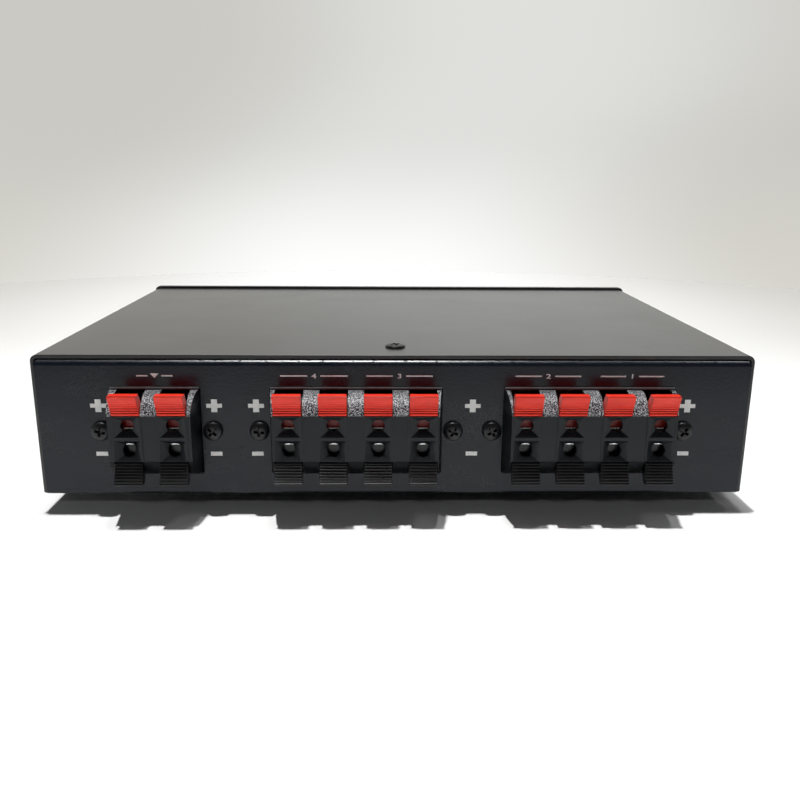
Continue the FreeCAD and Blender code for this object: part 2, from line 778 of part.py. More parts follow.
def rib_points():
    """The ribs of the tab's face as a zigzag, from its tip down: crests on the face, valleys in it."""
    count = int(SIZES["rib_count"])
    points = [rib_point(count, "0")]
    for index in reversed(range(count)):
        points += [rib_point(index + 0.5, "rib_depth"), rib_point(index, "0")]
    return points


def rib_point(steps, deep):
    """A point so many rib pitches along the tab's face, at a depth below it."""
    reach = f"(rib_start + {steps} * rib_pitch)"
    return (f"{deep} * cos(lever_lean) - nose_out - {reach} * sin(lever_lean)",
            f"{LEVER_BASE} + {reach} * cos(lever_lean) + {deep} * sin(lever_lean)")


def make_levers():
    """Twenty levers: red ones above the wire holes, black ones upside down below them."""
    first = make_lever()
    flip = (FreeCAD.Vector(0, 1, 0), 180)
    for name, across in lever_columns():
        for colour, turn in (("red", None), ("black", flip)):
            label = f"lever_{name}_{colour}"
            lever = first if label == first.Label else copy_of(first, label)
            place(lever, (across, REAR, "foot_gap + block_rise"), turn)


def lever_columns():
    """Each column's name and its place in X: a pair for the input and for each of four outputs."""
    names = ("input_a", "input_b", "4a", "4b", "3a", "3b", "2a", "2b", "1a", "1b")
    across = [column_place(centre, columns, index)
              for _, centre, columns, _ in block_places() for index in range(SIZES[columns])]
    return list(zip(names, across))


def make_contact(label, way):
    """A bent contact strip: lip in the wire hole, leaf behind the lever, tail into the board."""
    body = doc.addObject("PartDesign::Body", label)
    low, high = "mid_wall / 2", "(mid_wall / 2 + contact_gauge)"
    tail_out = "tail_back" if way < 0 else "(tail_back + tail_step)"
    tail_low = f"({BOARD_LOW} - pin_stub - block_rise)"
    leaf = [("leaf_root", high), ("-leaf_out", "leaf_rise"),
            ("-leaf_out - contact_gauge", "leaf_rise"), ("leaf_root - leaf_mitre * contact_gauge", high)]
    lip = [("contact_gauge - lip_out", high), ("contact_gauge - lip_out", "lip_rise"),
           ("-lip_out", "lip_rise"), ("-lip_out", low)]
    if way > 0:
        tail = [(f"{tail_out} - contact_gauge", low), (f"{tail_out} - contact_gauge", tail_low),
                (tail_out, tail_low), (tail_out, high)]
        points = tail + leaf + lip
    else:
        tail = [(tail_out, f"-({low})"), (tail_out, tail_low),
                (f"{tail_out} - contact_gauge", tail_low), (f"{tail_out} - contact_gauge", f"-{high}")]
        mirrored = [(u, f"-({v})") for u, v in leaf + lip]
        points = list(reversed(tail + mirrored))
    side = sketch_on(body, f"{label}_side", "YZ")
    outline(side, points)
    pad(body, side, "contact_width", both=True)
    return body


def make_contacts():
    """Two contacts per column, kept as one group for each terminal block."""
    masters = {way: None for way in (1, -1)}
    for name, centre, columns, _ in block_places():
        members = []
        for index in range(SIZES[columns]):
            for way, level in ((1, "upper"), (-1, "lower")):
                label = f"contact_{name}_{index + 1}_{level}"
                if masters[way] is None:
                    masters[way] = make_contact(label, way)
                    contact = masters[way]
                else:
                    contact = copy_of(masters[way], label, listed=False)
                place(contact, (column_place(centre, columns, index), REAR, "foot_gap + block_rise"))
                members.append(contact)
        group_of(f"contacts_{name}", members)


# ---------------------------------------------------------------- board and switches

def make_board():
    """The circuit board on its four posts."""
    body = new_body("main_board")
    sheet_outline = sketch_on(body, "board_outline", "XY", BOARD_LOW)
    rectangle(sheet_outline, f"-{BOARD_WIDTH} / 2", f"{BOARD_WIDTH} / 2", "board_start", BOARD_END)
    pad(body, sheet_outline, "board_thickness")
    slots = sketch_on(body, "tail_slots", "XY", BOARD_LOW)
    for _, across in lever_columns():
        for back in ("tail_back", "(tail_back + tail_step)"):
            centred(slots, "contact_width + 2 * pin_gap", "contact_gauge + 2 * pin_gap",
                    across, f"{back} - contact_gauge / 2")
    pocket(body, slots, "4 * board_thickness")
    holes = sketch_on(body, "board_holes", "XY", BOARD_LOW)
    for across, along in post_places():
        centred(holes, "tongue_size + 2 * pin_gap", "tongue_size + 2 * pin_gap", across, along)
    for across, along in switch_pin_places():
        centred(holes, "switch_pin + 2 * pin_gap", "switch_pin + 2 * pin_gap", across, along)
    for across, along in resistor_places():
        for way in (-1, 1):
            centred(holes, "lead_size + 2 * pin_gap", "lead_size + 2 * pin_gap",
                    f"{across} + {way} * {LEAD_X}", along)
    pocket(body, holes, "4 * board_thickness")
    place(body, CASE)


def make_posts():
    """Four square posts on the tray's floor, each with a tongue that snaps through the board."""
    first = doc.addObject("PartDesign::Body", "post_1")
    section = sketch_on(first, "post_section", "XY")
    centred(section, "post_size", "post_size")
    pad(first, section, "board_rise")
    tongue = sketch_on(first, "post_tongue", "XY", "board_rise")
    centred(tongue, "tongue_size", "tongue_size")
    pad(first, tongue, "board_thickness + pin_stub")
    posts = [first] + [copy_of(first, f"post_{n}", listed=False) for n in (2, 3, 4)]
    for post, (across, along) in zip(posts, post_places()):
        place(post, (across, f"{REAR} + {along}", f"foot_gap + {TRAY_FLOOR}"))
    group_of("board_posts", posts)


def switch_pin_places():
    """Where the switches' pins pass through the board."""
    return [(f"{across} + {side} * switch_pin_pitch / 2",
             f"{SWITCH_FRONT} - switch_length / 2 + {row} * switch_pin_pitch")
            for _, across in button_places() for side in (-1, 1) for row in (-1, 1)]


def make_switches():
    """Five push switches: a housing with a square bore and four pins."""
    first = new_body("switch_1")
    shell = sketch_on(first, "switch_shell", "YZ")
    rectangle(shell, "-switch_length", "0", "0", "switch_height")
    pad(first, shell, "switch_width", both=True)
    bore = sketch_on(first, "switch_bore", "XZ")
    side = "plunger_side + 2 * plunger_gap"
    centred(bore, side, side, "0", "switch_axis")
    pocket(first, bore, "2 * (plunger_hold + button_travel + switch_room)")
    pins = sketch_on(first, "switch_pins", "XY")
    for way in (-1, 1):
        for row in (-1, 1):
            centred(pins, "switch_pin", "switch_pin", f"{way} * switch_pin_pitch / 2",
                    f"{row} * switch_pin_pitch - switch_length / 2")
    pad(first, pins, "2 * (board_thickness + pin_stub)", both=True)
    for name, across in button_places():
        switch = first if name == "1" else copy_of(first, f"switch_{name}")
        place(switch, (across, f"{REAR} + {SWITCH_FRONT}", f"foot_gap + {BOARD_TOP}"))


def make_plungers():
    """The square rods that carry the buttons."""
    first = new_body("plunger_1")
    rod = sketch_on(first, "plunger_side_view", "YZ")
    centred(rod, PLUNGER_LENGTH, "plunger_side", f"{PLUNGER_LENGTH} / 2 - plunger_hold")
    pad(first, rod, "plunger_side", both=True)
    for name, across in button_places():
        plunger = first if name == "1" else copy_of(first, f"plunger_{name}")
        place(plunger, (across, f"{REAR} + {SWITCH_FRONT}", f"foot_gap + {BUTTON_AXIS}"))


def make_buttons():
    """The button caps: thin shells with a bevelled face and a socket for the plunger."""
    first = new_body("button_1")
    cap = sketch_on(first, "cap", "XZ")
    centred(cap, "button_width", "button_height")
    pad(first, cap, "button_depth", reverse=True)
    front = value("button_depth")
    chamfer(first, "cap_edge", "button_edge", lambda edge: near(edge.BoundBox.YMin, front))
    hollow = sketch_on(first, "cap_hollow", "XZ")
    centred(hollow, "button_width - 2 * button_wall", "button_height - 2 * button_wall")
    pocket(first, hollow, "2 * plunger_seat")
    bore = "(plunger_side + 2 * press_gap)"
    socket = sketch_on(first, "cap_socket", "XZ")
    centred(socket, f"{bore} + 2 * socket_wall", f"{bore} + 2 * socket_wall")
    pad(first, socket, "plunger_seat", reverse=True)
    seat = sketch_on(first, "cap_seat", "XZ")
    centred(seat, bore, bore)
    pocket(first, seat, "2 * plunger_seat")
    for name, across in button_places():
        button = first if name == "1" else copy_of(first, f"button_{name}")
        place(button, (across, f"{REAR} + {CAP_BACK}", f"foot_gap + {BUTTON_AXIS}"))


def resistor_places():
    """The four resistors: X and Y in the case's frame."""
    return [(f"{side} * resistor_x", f"(resistor_y + {row} * resistor_pitch)")
            for side in (-1, 1) for row in (0, 1)]


def make_resistors():
    """Four brick resistors lying on the board, each with two bent leads."""
    first = doc.addObject("PartDesign::Body", "resistor_first")
    brick = sketch_on(first, "brick", "YZ")
    rectangle(brick, "-resistor_side / 2", "resistor_side / 2", "0", "resistor_side")
    pad(first, brick, "resistor_length", both=True)
    leads = sketch_on(first, "leads", "XZ")
    middle, half = "resistor_side / 2", "resistor_length / 2"
    foot = "-(board_thickness + pin_stub)"
    outline(leads, [
        (f"{half} - lead_root", middle), (f"{LEAD_X} - lead_size / 2", middle),
        (f"{LEAD_X} - lead_size / 2", foot), (f"{LEAD_X} + lead_size / 2", foot),
        (f"{LEAD_X} + lead_size / 2", f"{middle} + lead_size"),
        (f"{half} - lead_root", f"{middle} + lead_size")])
    outline(leads, [
        (f"lead_root - {half}", f"{middle} + lead_size"),
        (f"-{LEAD_X} - lead_size / 2", f"{middle} + lead_size"),
        (f"-{LEAD_X} - lead_size / 2", foot), (f"lead_size / 2 - {LEAD_X}", foot),
        (f"lead_size / 2 - {LEAD_X}", middle), (f"lead_root - {half}", middle)])
    pad(first, leads, "lead_size", both=True)
    members = [first] + [copy_of(first, f"resistor_{n}", listed=False) for n in (2, 3, 4)]
    for member, (across, along) in zip(members, resistor_places()):
        place(member, (across, f"{REAR} + {along}", f"foot_gap + {BOARD_TOP}"))
    group_of("protection_resistors", members)


# ---------------------------------------------------------------- build and export

def check_document():
    """Stop if any object failed or any sub-part has no sound shape."""
    doc.recompute()
    for item in doc.Objects:
        if any(flag in item.State for flag in ("Invalid", "Error")):
            raise RuntimeError(f"{item.Name} failed")
    for part in parts:
        if part.Shape.isNull() or not part.Shape.isValid():
            raise RuntimeError(f"{part.Label} has no sound shape")


def export_parts():
    """Write each sub-part to its own file."""
    os.makedirs("parts", exist_ok=True)
    for part in parts:
        part.Shape.exportStep(f"parts/{part.Label}.step")
        print(f"{part.Label}: {len(part.Shape.Solids)} solid(s), {part.Shape.Volume:.1f} mm3")


fill_sheet()
make_tray()
make_cover()
make_face_plate()
for case_piece in list(parts):
    place(case_piece, CASE)
make_feet()
for block in block_places():
    make_block(*block)
make_hinge_rods()
make_levers()
make_contacts()
make_board()
make_posts()
make_switches()
make_plungers()
make_buttons()
make_resistors()
make_screws()
check_document()
export_parts()
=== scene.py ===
import json
import math

import bmesh
import bpy
from mathutils import Matrix, Vector


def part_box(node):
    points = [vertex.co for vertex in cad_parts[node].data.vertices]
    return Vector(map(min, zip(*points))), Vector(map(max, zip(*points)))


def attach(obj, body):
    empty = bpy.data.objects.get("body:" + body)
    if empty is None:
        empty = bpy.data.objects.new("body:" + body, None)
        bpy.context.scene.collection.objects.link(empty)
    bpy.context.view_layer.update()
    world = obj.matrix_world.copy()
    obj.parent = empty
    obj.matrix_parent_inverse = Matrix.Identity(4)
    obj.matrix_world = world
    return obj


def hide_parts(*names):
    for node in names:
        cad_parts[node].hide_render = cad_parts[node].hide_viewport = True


# A speaker selector seen from its terminal side: a folded steel case, three moulded
# blocks of spring terminals, and a plain face plate with five push buttons.
# Shapes are worked out in millimetres in the part's own frame: +X to the right seen
# from behind, -Y out of the terminal panel, +Z up. "out" is a distance outwards from
# the terminal panel's outer face.

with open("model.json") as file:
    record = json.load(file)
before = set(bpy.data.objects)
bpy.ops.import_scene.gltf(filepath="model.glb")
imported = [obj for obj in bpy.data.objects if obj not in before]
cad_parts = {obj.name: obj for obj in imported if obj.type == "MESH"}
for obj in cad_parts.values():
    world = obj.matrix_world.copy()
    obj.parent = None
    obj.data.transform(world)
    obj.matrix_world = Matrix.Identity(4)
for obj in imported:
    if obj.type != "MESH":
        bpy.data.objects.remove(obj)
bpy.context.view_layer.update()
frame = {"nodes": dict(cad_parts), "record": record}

MM = 0.001

# ---- sizes


def corners(node):
    """A node's lowest and highest corner in millimetres."""
    low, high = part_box(node)
    return low / MM, high / MM


COVER_LOW, COVER_HIGH = corners("top_cover")
TRAY_LOW, TRAY_HIGH = corners("chassis_tray")
PLATE_LOW, PLATE_HIGH = corners("face_plate")

# The panel's outer face, how far tools reach past what they cut, how far a flange is sunk
# into the floor that it joins, and how near counts as touching.
REAR = TRAY_LOW.y
SPARE = 1.0
SUNK = 0.1
NEAR = 0.01

# The folded case: sheet, bends, flanges and the tab under the cover's screw.
GAUGE = 1.2
COVER_BEND = 2.2
COVER_LIP = 0.6
TRAY_BEND = 0.9
PANEL_BEND = 2.0
TOP_FLANGE = 10.0
SIDE_FLANGE = 9.0
CORNER_RELIEF = 1.2
TAB_WIDTH = 22.0
TAB_LENGTH = 24.0
SHEET_EDGE = 0.16
WALL_MARGIN = 1.2

# The face plate and the feet, whose lip and top are steps inwards from the edge, with their heights.
PLATE_CORNER = 2.0
PLATE_EASE = 0.8
WINDOW_EASE = 0.25
WINDOW_GAP = 0.3
FOOT_DRAFT = 1.5
FOOT_RIM = 0.8
FOOT_MIDDLE = 0.6
FOOT_DISH = 0.5
FOOT_LIP = ((2.4, 0.5), (2.0, 0.12), (1.8, 0.0))
FOOT_TOP = ((0.15, 0.4), (0.3, 0.0))

# The screws. A cross has its height from the head's top, its arms' reach and half their width.
# The turns, in degrees, are where each screw's cross came to rest.
SCREW_HOLE = 3.2
SCREW_CLEAR = 2.5
SCREW_EASE = 0.07
SCREW_HEAD = 6.3
SCREW_RISE = 2.05
SCREW_SHANK = 7.9
COVER_SHANK = 5.9
SHANK_RADIUS = 1.45
SHANK_TIP = 1.0
SHANK_POINT = 0.5
HEAD_BEVEL = 0.1
HEAD_RIM = 0.36
HEAD_FLAT = 0.7
HEAD_ROUND = 1.1
HEAD_MIDDLE = 0.5
CROSS_MOUTH = (0.5, 2.05, 0.52)
CROSS_FOOT = (-1.35, 0.95, 0.30)
PANEL_TURNS = (12.0, 38.0, 5.0, 27.0, 61.0, 34.0)
COVER_TURN = 22.0

# The terminal blocks: ten columns, each with a red lever above and a black one below.
PITCH = 14.0
COLUMNS = ("input_a", "input_b", "4a", "4b", "3a", "3b", "2a", "2b", "1a", "1b")
BLOCKS = {"input": COLUMNS[:2], "left": COLUMNS[2:6], "right": COLUMNS[6:]}
CUTOUT_HEIGHT = 29.3
CUTOUT_CORNER = 1.0
CUTOUT_GAP = 0.3
EAR_REACH = 7.95
EAR_LIP = 1.6
EAR_SPARE = 4.5
EAR_THICKNESS = 2.4
EAR_HOLE = 3.1
BLOCK_EASE = 0.10
NOSE_OUT = 9.4
FACE_HALF = 7.3
SHOULDER_OUT = 0.5
SHOULDER_HALF = 13.6
SHOULDER_RADIUS = 9.0
END_TAPER = 1.2
BLOCK_DEPTH = 12.0
SLOT_WIDTH = 9.0
MID_WALL = 1.8
RIM_WALL = 0.7
FRONT_INNER_OUT = 6.2
MODULE_WIDTH = 9.3
MODULE_STEP = 0.18
WIRE_SIZE = 4.1
WIRE_HALF = 4.0
THROAT = WIRE_SIZE / math.sqrt(2.0)
FUNNEL_WIDTH = 7.8
FUNNEL_DEPTH = 1.5
FUNNEL_DEEP = 3.0
FUNNEL_LOW = 0.55
FUNNEL_HIGH = 7.15
PIVOT_OUT = 3.4
PIVOT_RISE = 3.0
ROD_SIZE = 1.6
ROD_GAP = 0.05
ROD_HOLD = 0.8
LIP_EDGE = 2.42

# The levers: a ribbed tab, a blade behind the wire hole and a saddle on the rod.
LEVER_WIDTH = 8.7
LEVER_LEAN = math.radians(22.0)
LEVER_FACE = 7.5
LEVER_BASE = 7.45
LEVER_TIP = 3.3
LEVER_TIP_RISE = 0.1
LEVER_EASE = 0.13
TIP_BACK = 0.45
TIP_FRONT = 0.38
HUB = 1.5
BLADE = 1.7
HEEL = 6.6
THROAT_BEVEL = 0.6
SADDLE_LEG = 1.0
FACE_START = (0.2, 0.5)
CHIN = ((0.05, 0.12), (0.25, 0.0))
SADDLE_TILT = math.radians(15.0)
RIB_COUNT = 7
RIB_PITCH = 0.92
RIB_DEPTH = 0.42
RIB_START = 0.55
RIB_STEPS = 10
RIB_ROUND = 2.4
RIB_FADE = {"red": 1.1, "black": 0.4}

# The button caps; the dish is rings of a share of the face's size, each with its depth.
CAP_WALL = 1.3
CAP_DEPTH = 6.0
CAP_CORNER = 1.1
CAP_EDGE = 0.7
CAP_DISH = ((0.85, 0.06), (0.65, 0.13), (0.40, 0.18), (0.15, 0.20))

BLOCK_Z = sum(c.z for c in corners("terminal_block_input")) / 2


def middle_x(node):
    """The middle of a node in X."""
    low, high = corners(node)
    return (low.x + high.x) / 2


COLUMN_X = {name: middle_x(f"lever_{name}_red") for name in COLUMNS}
BUTTONS = ("1", "2", "3", "4", "protect")


# ---- finishes

def arithmetic(operation, reflected=False):
    """An operator that adds one Math node to the finish of the field."""
    def combine(field, other):
        first, second = (other, field) if reflected else (field, other)
        return field.finish.node("ShaderNodeMath", {"operation": operation}, {0: first, 1: second})
    return combine


class Field:
    """A value that varies over a surface; operators combine it with others and with numbers."""

    def __init__(self, finish, socket):
        self.finish = finish
        self.socket = socket

    __add__, __radd__ = arithmetic("ADD"), arithmetic("ADD", reflected=True)
    __sub__, __rsub__ = arithmetic("SUBTRACT"), arithmetic("SUBTRACT", reflected=True)
    __mul__, __rmul__ = arithmetic("MULTIPLY"), arithmetic("MULTIPLY", reflected=True)
    higher = arithmetic("MAXIMUM")

    def __abs__(self):
        return self.finish.node("ShaderNodeMath", {"operation": "ABSOLUTE"}, {0: self})

    def rise(self, low, high):
        """0 below low, 1 above high and smooth between; high below low turns it round."""
        if low > high:
            return 1.0 - self.rise(high, low)
        return self.finish.node(
            "ShaderNodeMapRange", {"interpolation_type": "SMOOTHSTEP"},
            {"Value": self, "From Min": low, "From Max": high})


class Finish:
    """A material: one Principled surface and the nodes that vary it."""

    def __init__(self, name, **constants):
        self.material = bpy.data.materials.new(name)
        self.material.use_nodes = True
        self.tree = self.material.node_tree
        self.surface = self.tree.nodes["Principled BSDF"]
        self.set(**constants)

    def node(self, kind, settings=None, inputs=None, output=0):
        """Add a node: its settings, then the values or links of its sockets; gives one output."""
        made = self.tree.nodes.new(kind)
        for name, setting in (settings or {}).items():
            setattr(made, name, setting)
        for name, source in (inputs or {}).items():
            self.connect(made.inputs[name], source)
        return Field(self, made.outputs[output])

    def connect(self, socket, source):
        """Give a socket a field's link or a plain value."""
        if isinstance(source, Field):
            self.tree.links.new(source.socket, socket)
        else:
            socket.default_value = source

    def set(self, **sockets):
        """Values or fields for the surface's sockets, such as base_color or roughness."""
        for name, source in sockets.items():
            title = name.replace("_", " ").title().replace("Ior", "IOR")
            colour = isinstance(source, tuple) and len(source) == 3
            self.connect(self.surface.inputs[title], (*source, 1.0) if colour else source)

    def place(self):
        """The place on the piece, in millimetres."""
        raw = self.node("ShaderNodeTexCoord", output="Object")
        return self.node("ShaderNodeVectorMath", {"operation": "SCALE"}, {0: raw, "Scale": 1.0 / MM})

    def axes(self):
        """The place on the piece as three fields, x, y and z in millimetres."""
        place = self.place()
        return [self.node("ShaderNodeSeparateXYZ", None, {0: place}, axis) for axis in "XYZ"]

    def stretched(self, x=1.0, y=1.0, z=1.0):
        """The place with each axis drawn out, for patterns that run one way."""
        return self.node("ShaderNodeVectorMath", {"operation": "MULTIPLY"},
                         {0: self.place(), 1: (1.0 / x, 1.0 / y, 1.0 / z)})

    def noise(self, size, detail=2.0, place=None, distortion=0.0):
        """Soft noise whose blobs are about a size across, in millimetres."""
        return self.node("ShaderNodeTexNoise", None, {
            "Vector": place or self.place(), "Scale": 1.0 / size, "Detail": detail,
            "Distortion": distortion})

    def mix(self, share, first, second):
        """A colour between two colours."""
        pair = [(*c, 1.0) if isinstance(c, tuple) else c for c in (first, second)]
        return self.node("ShaderNodeMix", {"data_type": "RGBA"}, {0: share, 6: pair[0], 7: pair[1]}, 2)

    def bump(self, height, depth):
        """Relief of a depth in millimetres."""
        self.set(normal=self.node("ShaderNodeBump", None, {"Height": height, "Distance": depth * MM}))

    def show(self, shader):
        """Show another shader in place of the Principled surface."""
        self.connect(self.tree.nodes["Material Output"].inputs["Surface"], shader)


def powder_coat(name, gloss, peel_size, peel_depth):
    """A powder coat with its orange peel; gives the coat, its fine grit and its soft clouds."""
    coat = Finish(name, ior=gloss)
    grit = coat.noise(0.22, 2.0)
    coat.bump(coat.noise(peel_size, 2.0) + 0.25 * grit, peel_depth)
    return coat, grit, coat.noise(26.0, 4.0)


def scratch_lines(coat, x, y, scratches):
    """A field that is 1 on straight, slightly wavering scratches: middle, length, turn, width."""
    waver = 1.6 * (coat.noise(6.0, 1.0) - 0.5)
    total = None
    for (across, along), length, turn, width in scratches:
        cosine, sine = math.cos(math.radians(turn)), math.sin(math.radians(turn))
        run = (x - across) * cosine + (y - along) * sine
        off = (y - along) * cosine - (x - across) * sine + waver
        line = abs(off).rise(width, 0.0) * abs(run).rise(length / 2, length / 2 - 3.0)
        total = line if total is None else total.higher(line)
    return total


def cover_coat():
    """The cover's satin coat, scuffed near one corner."""
    colour = (0.016, 0.016, 0.0165)
    coat, _, clouds = powder_coat("cover_coat", 1.54, 0.9, 0.010)
    x, y, _ = coat.axes()
    scuffs = scratch_lines(coat, x, y, (
        ((92.0, -58.0), 16.0, 4.0, 0.22), ((99.0, -66.5), 13.0, 17.0, 0.30),
        ((84.0, -62.0), 7.0, -8.0, 0.35), ((70.0, -12.0), 30.0, -3.0, 0.20),
        ((-61.0, 12.0), 22.0, 31.0, 0.12), ((18.0, 40.0), 12.0, -64.0, 0.12)))
    worn = coat.noise(1.1, 3.0).rise(0.40, 0.62) * scuffs
    coat.set(
        base_color=coat.mix(clouds.rise(0.35, 0.75), colour, tuple(c * 1.5 for c in colour)),
        roughness=0.15 + 0.08 * coat.noise(30.0, 4.0) + 0.04 * coat.noise(0.3) + 0.25 * worn)
    return coat


def panel_coat():
    """The tray's semi-gloss black: wiped dust, and a glossy bead along the bent top edge."""
    colour = (0.0032, 0.0060, 0.0125)
    coat, grit, clouds = powder_coat("panel_coat", 1.40, 0.7, 0.030)
    smear = coat.noise(9.0, 3.0, coat.stretched(x=5.0), 0.6)
    wiped = coat.noise(11.0, 5.0, coat.stretched(x=2.0, z=1.3), 1.2)
    dust = coat.noise(0.5, 3.0).rise(0.35, 0.75) * wiped.rise(0.52, 0.68)
    _, _, z = coat.axes()
    runs = coat.noise(0.8, 2.0, coat.stretched(x=2.5)).rise(0.34, 0.46)
    coat.set(
        base_color=coat.mix(dust * 0.8, colour, (0.016, 0.020, 0.025)),
        roughness=0.17 + 0.07 * clouds + 0.05 * grit + 0.05 * smear.rise(0.5, 0.7),
        coat_weight=z.rise(TRAY_HIGH.z - 1.4, TRAY_HIGH.z - 0.9) * runs,
        coat_ior=2.0, coat_roughness=0.26)
    return coat


def plate_coat():
    """The face plate's satin black, drawn out along its length."""
    coat = Finish("plate_coat", base_color=(0.010, 0.010, 0.011), ior=1.5)
    grain = coat.noise(0.35, 3.0, coat.stretched(x=40.0))
    clouds = coat.noise(22.0, 3.0)
    coat.set(roughness=0.30 + 0.08 * grain + 0.06 * clouds)
    coat.bump(grain, 0.004)
    return coat


def housing_plastic():
    """Moulded black housing: smooth face and spark-eroded shoulders, with painted glints on the top
    shoulders, a painted highlight along the top rim and painted shade on the lower shoulders.
    """
    plastic = Finish("housing_plastic", ior=1.42)
    _, y, z = plastic.axes()
    shoulder = abs(z - BLOCK_Z).rise(FACE_HALF - 0.1, FACE_HALF + 0.25)
    normal = plastic.node("ShaderNodeNewGeometry", output="Normal")
    sideways = abs(plastic.node("ShaderNodeSeparateXYZ", None, {0: normal}, "X"))
    crown = (z - BLOCK_Z).rise(FACE_HALF - 0.1, FACE_HALF + 0.3) * (REAR - y).rise(0.7, 1.3)
    grit = plastic.noise(0.33, 1.5)
    # Painted glints: pale grey grains on the top shoulders, where they face up or out.
    painted_glints = grit.rise(0.50, 0.58) * crown * sideways.rise(0.5, 0.2)
    # Painted shade under the block: the lower shoulders turn metallic over their near-black colour, so
    # they mirror almost nothing.
    under = (BLOCK_Z - z).rise(FACE_HALF - 0.1, FACE_HALF + 0.3)
    fine = plastic.noise(0.16, 3.0)
    clouds = plastic.noise(5.0, 3.0)
    plain = plastic.mix(shoulder, (0.0030, 0.0050, 0.0075), (0.008, 0.0095, 0.011))
    rim = CUTOUT_HEIGHT / 2 - CUTOUT_GAP
    # Painted highlight: a pale grey line along the housing's top rim.
    plain = plastic.mix((z - BLOCK_Z).rise(rim - 0.50, rim - 0.35), plain, (0.17, 0.175, 0.18))
    plastic.set(
        base_color=plastic.mix(painted_glints, plain, (0.46, 0.47, 0.49)),
        metallic=0.85 * under,
        roughness=0.34 + 0.12 * clouds - 0.12 * shoulder + 0.06 * fine)
    plastic.bump(grit * shoulder + 0.08 * fine, 0.10)
    return plastic


def lever_plastic(name, colour, deep, painted_shade, roughness, gloss):
    """Glossy moulded lever plastic with faint flow marks; painted shade darkens the grooves and the foot
    inside the block.
    """
    plastic = Finish(name, ior=gloss)
    flow = plastic.noise(2.4, 3.0, plastic.stretched(x=3.0), 0.4)
    fine = plastic.noise(0.25, 2.0)
    _, y, z = plastic.axes()
    out, up = REAR - y, abs(z - BLOCK_Z)
    sunk = (NOSE_OUT - out) * math.cos(LEVER_LEAN) + (up - LEVER_BASE) * math.sin(LEVER_LEAN)
    # Painted shade: the grooves and the foot inside the block are darkened towards the shade colour.
    groove = sunk.rise(0.08, 0.30) * sunk.rise(0.60, 0.44)
    foot = out.rise(7.4, 6.2)
    moulded = plastic.mix(flow.rise(0.3, 0.7), deep, colour)
    plastic.set(
        base_color=plastic.mix((0.85 * groove).higher(0.8 * foot), moulded, painted_shade),
        roughness=roughness + 0.08 * flow + 0.04 * fine)
    plastic.bump(fine + 0.8 * flow, 0.0015)
    return plastic


def contact_tin():
    """Tinned contact strips, dark all over, with a painted glint along their lips' edge: broken white
    there, and matte on the upper lips so that it catches more light.
    """
    metal = Finish("contact_tin")
    _, _, z = metal.axes()
    edge = abs(z - BLOCK_Z).rise(LIP_EDGE - 0.12, LIP_EDGE)
    marks = metal.noise(0.35, 2.0, metal.stretched(z=3.0))
    # Painted glint: rubbed marks a broken white line along the lips' edge; on the upper lips it is matte
    # white, on the lower ones bright metal.
    rubbed = edge * marks.rise(0.34, 0.46)
    matte_painted_glint = rubbed * (z - BLOCK_Z).rise(-0.1, 0.1)
    metal.set(
        base_color=metal.mix(rubbed, (0.035, 0.034, 0.032), (0.95, 0.94, 0.92)),
        metallic=1.0 - matte_painted_glint, roughness=0.40 - 0.10 * rubbed)
    metal.bump(marks, 0.006)
    return metal


def rod_steel():
    """Bare steel rods with fine marks drawn along them."""
    metal = Finish("rod_steel", metallic=1.0)
    lines = metal.noise(0.08, 3.0, metal.stretched(x=20.0))
    tarnish = metal.noise(2.5, 3.0)
    metal.set(
        base_color=metal.mix(tarnish.rise(0.45, 0.75), (0.56, 0.56, 0.57), (0.403, 0.403, 0.410)),
        roughness=0.22 + 0.18 * lines + 0.12 * tarnish)
    metal.bump(lines, 0.004)
    return metal


def screw_black():
    """Black-oxide screw heads, rubbed a little brighter on their high spots."""
    metal = Finish("screw_black", metallic=0.2, ior=1.5)
    rub = metal.noise(0.7, 3.0)
    fine = metal.noise(0.14, 2.0)
    metal.set(
        base_color=metal.mix(rub.rise(0.5, 0.8), (0.006, 0.006, 0.007), (0.030, 0.030, 0.030)),
        roughness=0.20 + 0.16 * rub + 0.06 * fine)
    metal.bump(fine + rub, 0.008)
    return metal


def plain_plastic(name, colour, other, roughness, size=0.4, depth=0.01):
    """Moulded or pressed material: two close tones, a fine tooth and soft mottling."""
    plastic = Finish(name, ior=1.5)
    mottle = plastic.noise(size * 9, 4.0)
    tooth = plastic.noise(size, 3.0)
    plastic.set(
        base_color=plastic.mix(mottle.rise(0.35, 0.7), colour, other),
        roughness=roughness + 0.10 * mottle + 0.06 * tooth)
    plastic.bump(tooth + 0.4 * mottle, depth)
    return plastic


def print_ink():
    """Screen-printed grey-white ink, a little thin in places."""
    ink = Finish("print_ink", ior=1.45)
    thin = ink.noise(0.5, 3.0)
    ink.set(
        base_color=ink.mix(thin.rise(0.55, 0.85), (0.86, 0.86, 0.84), (0.62, 0.62, 0.60)),
        roughness=0.48 + 0.15 * thin)
    ink.bump(thin, 0.004)
    return ink


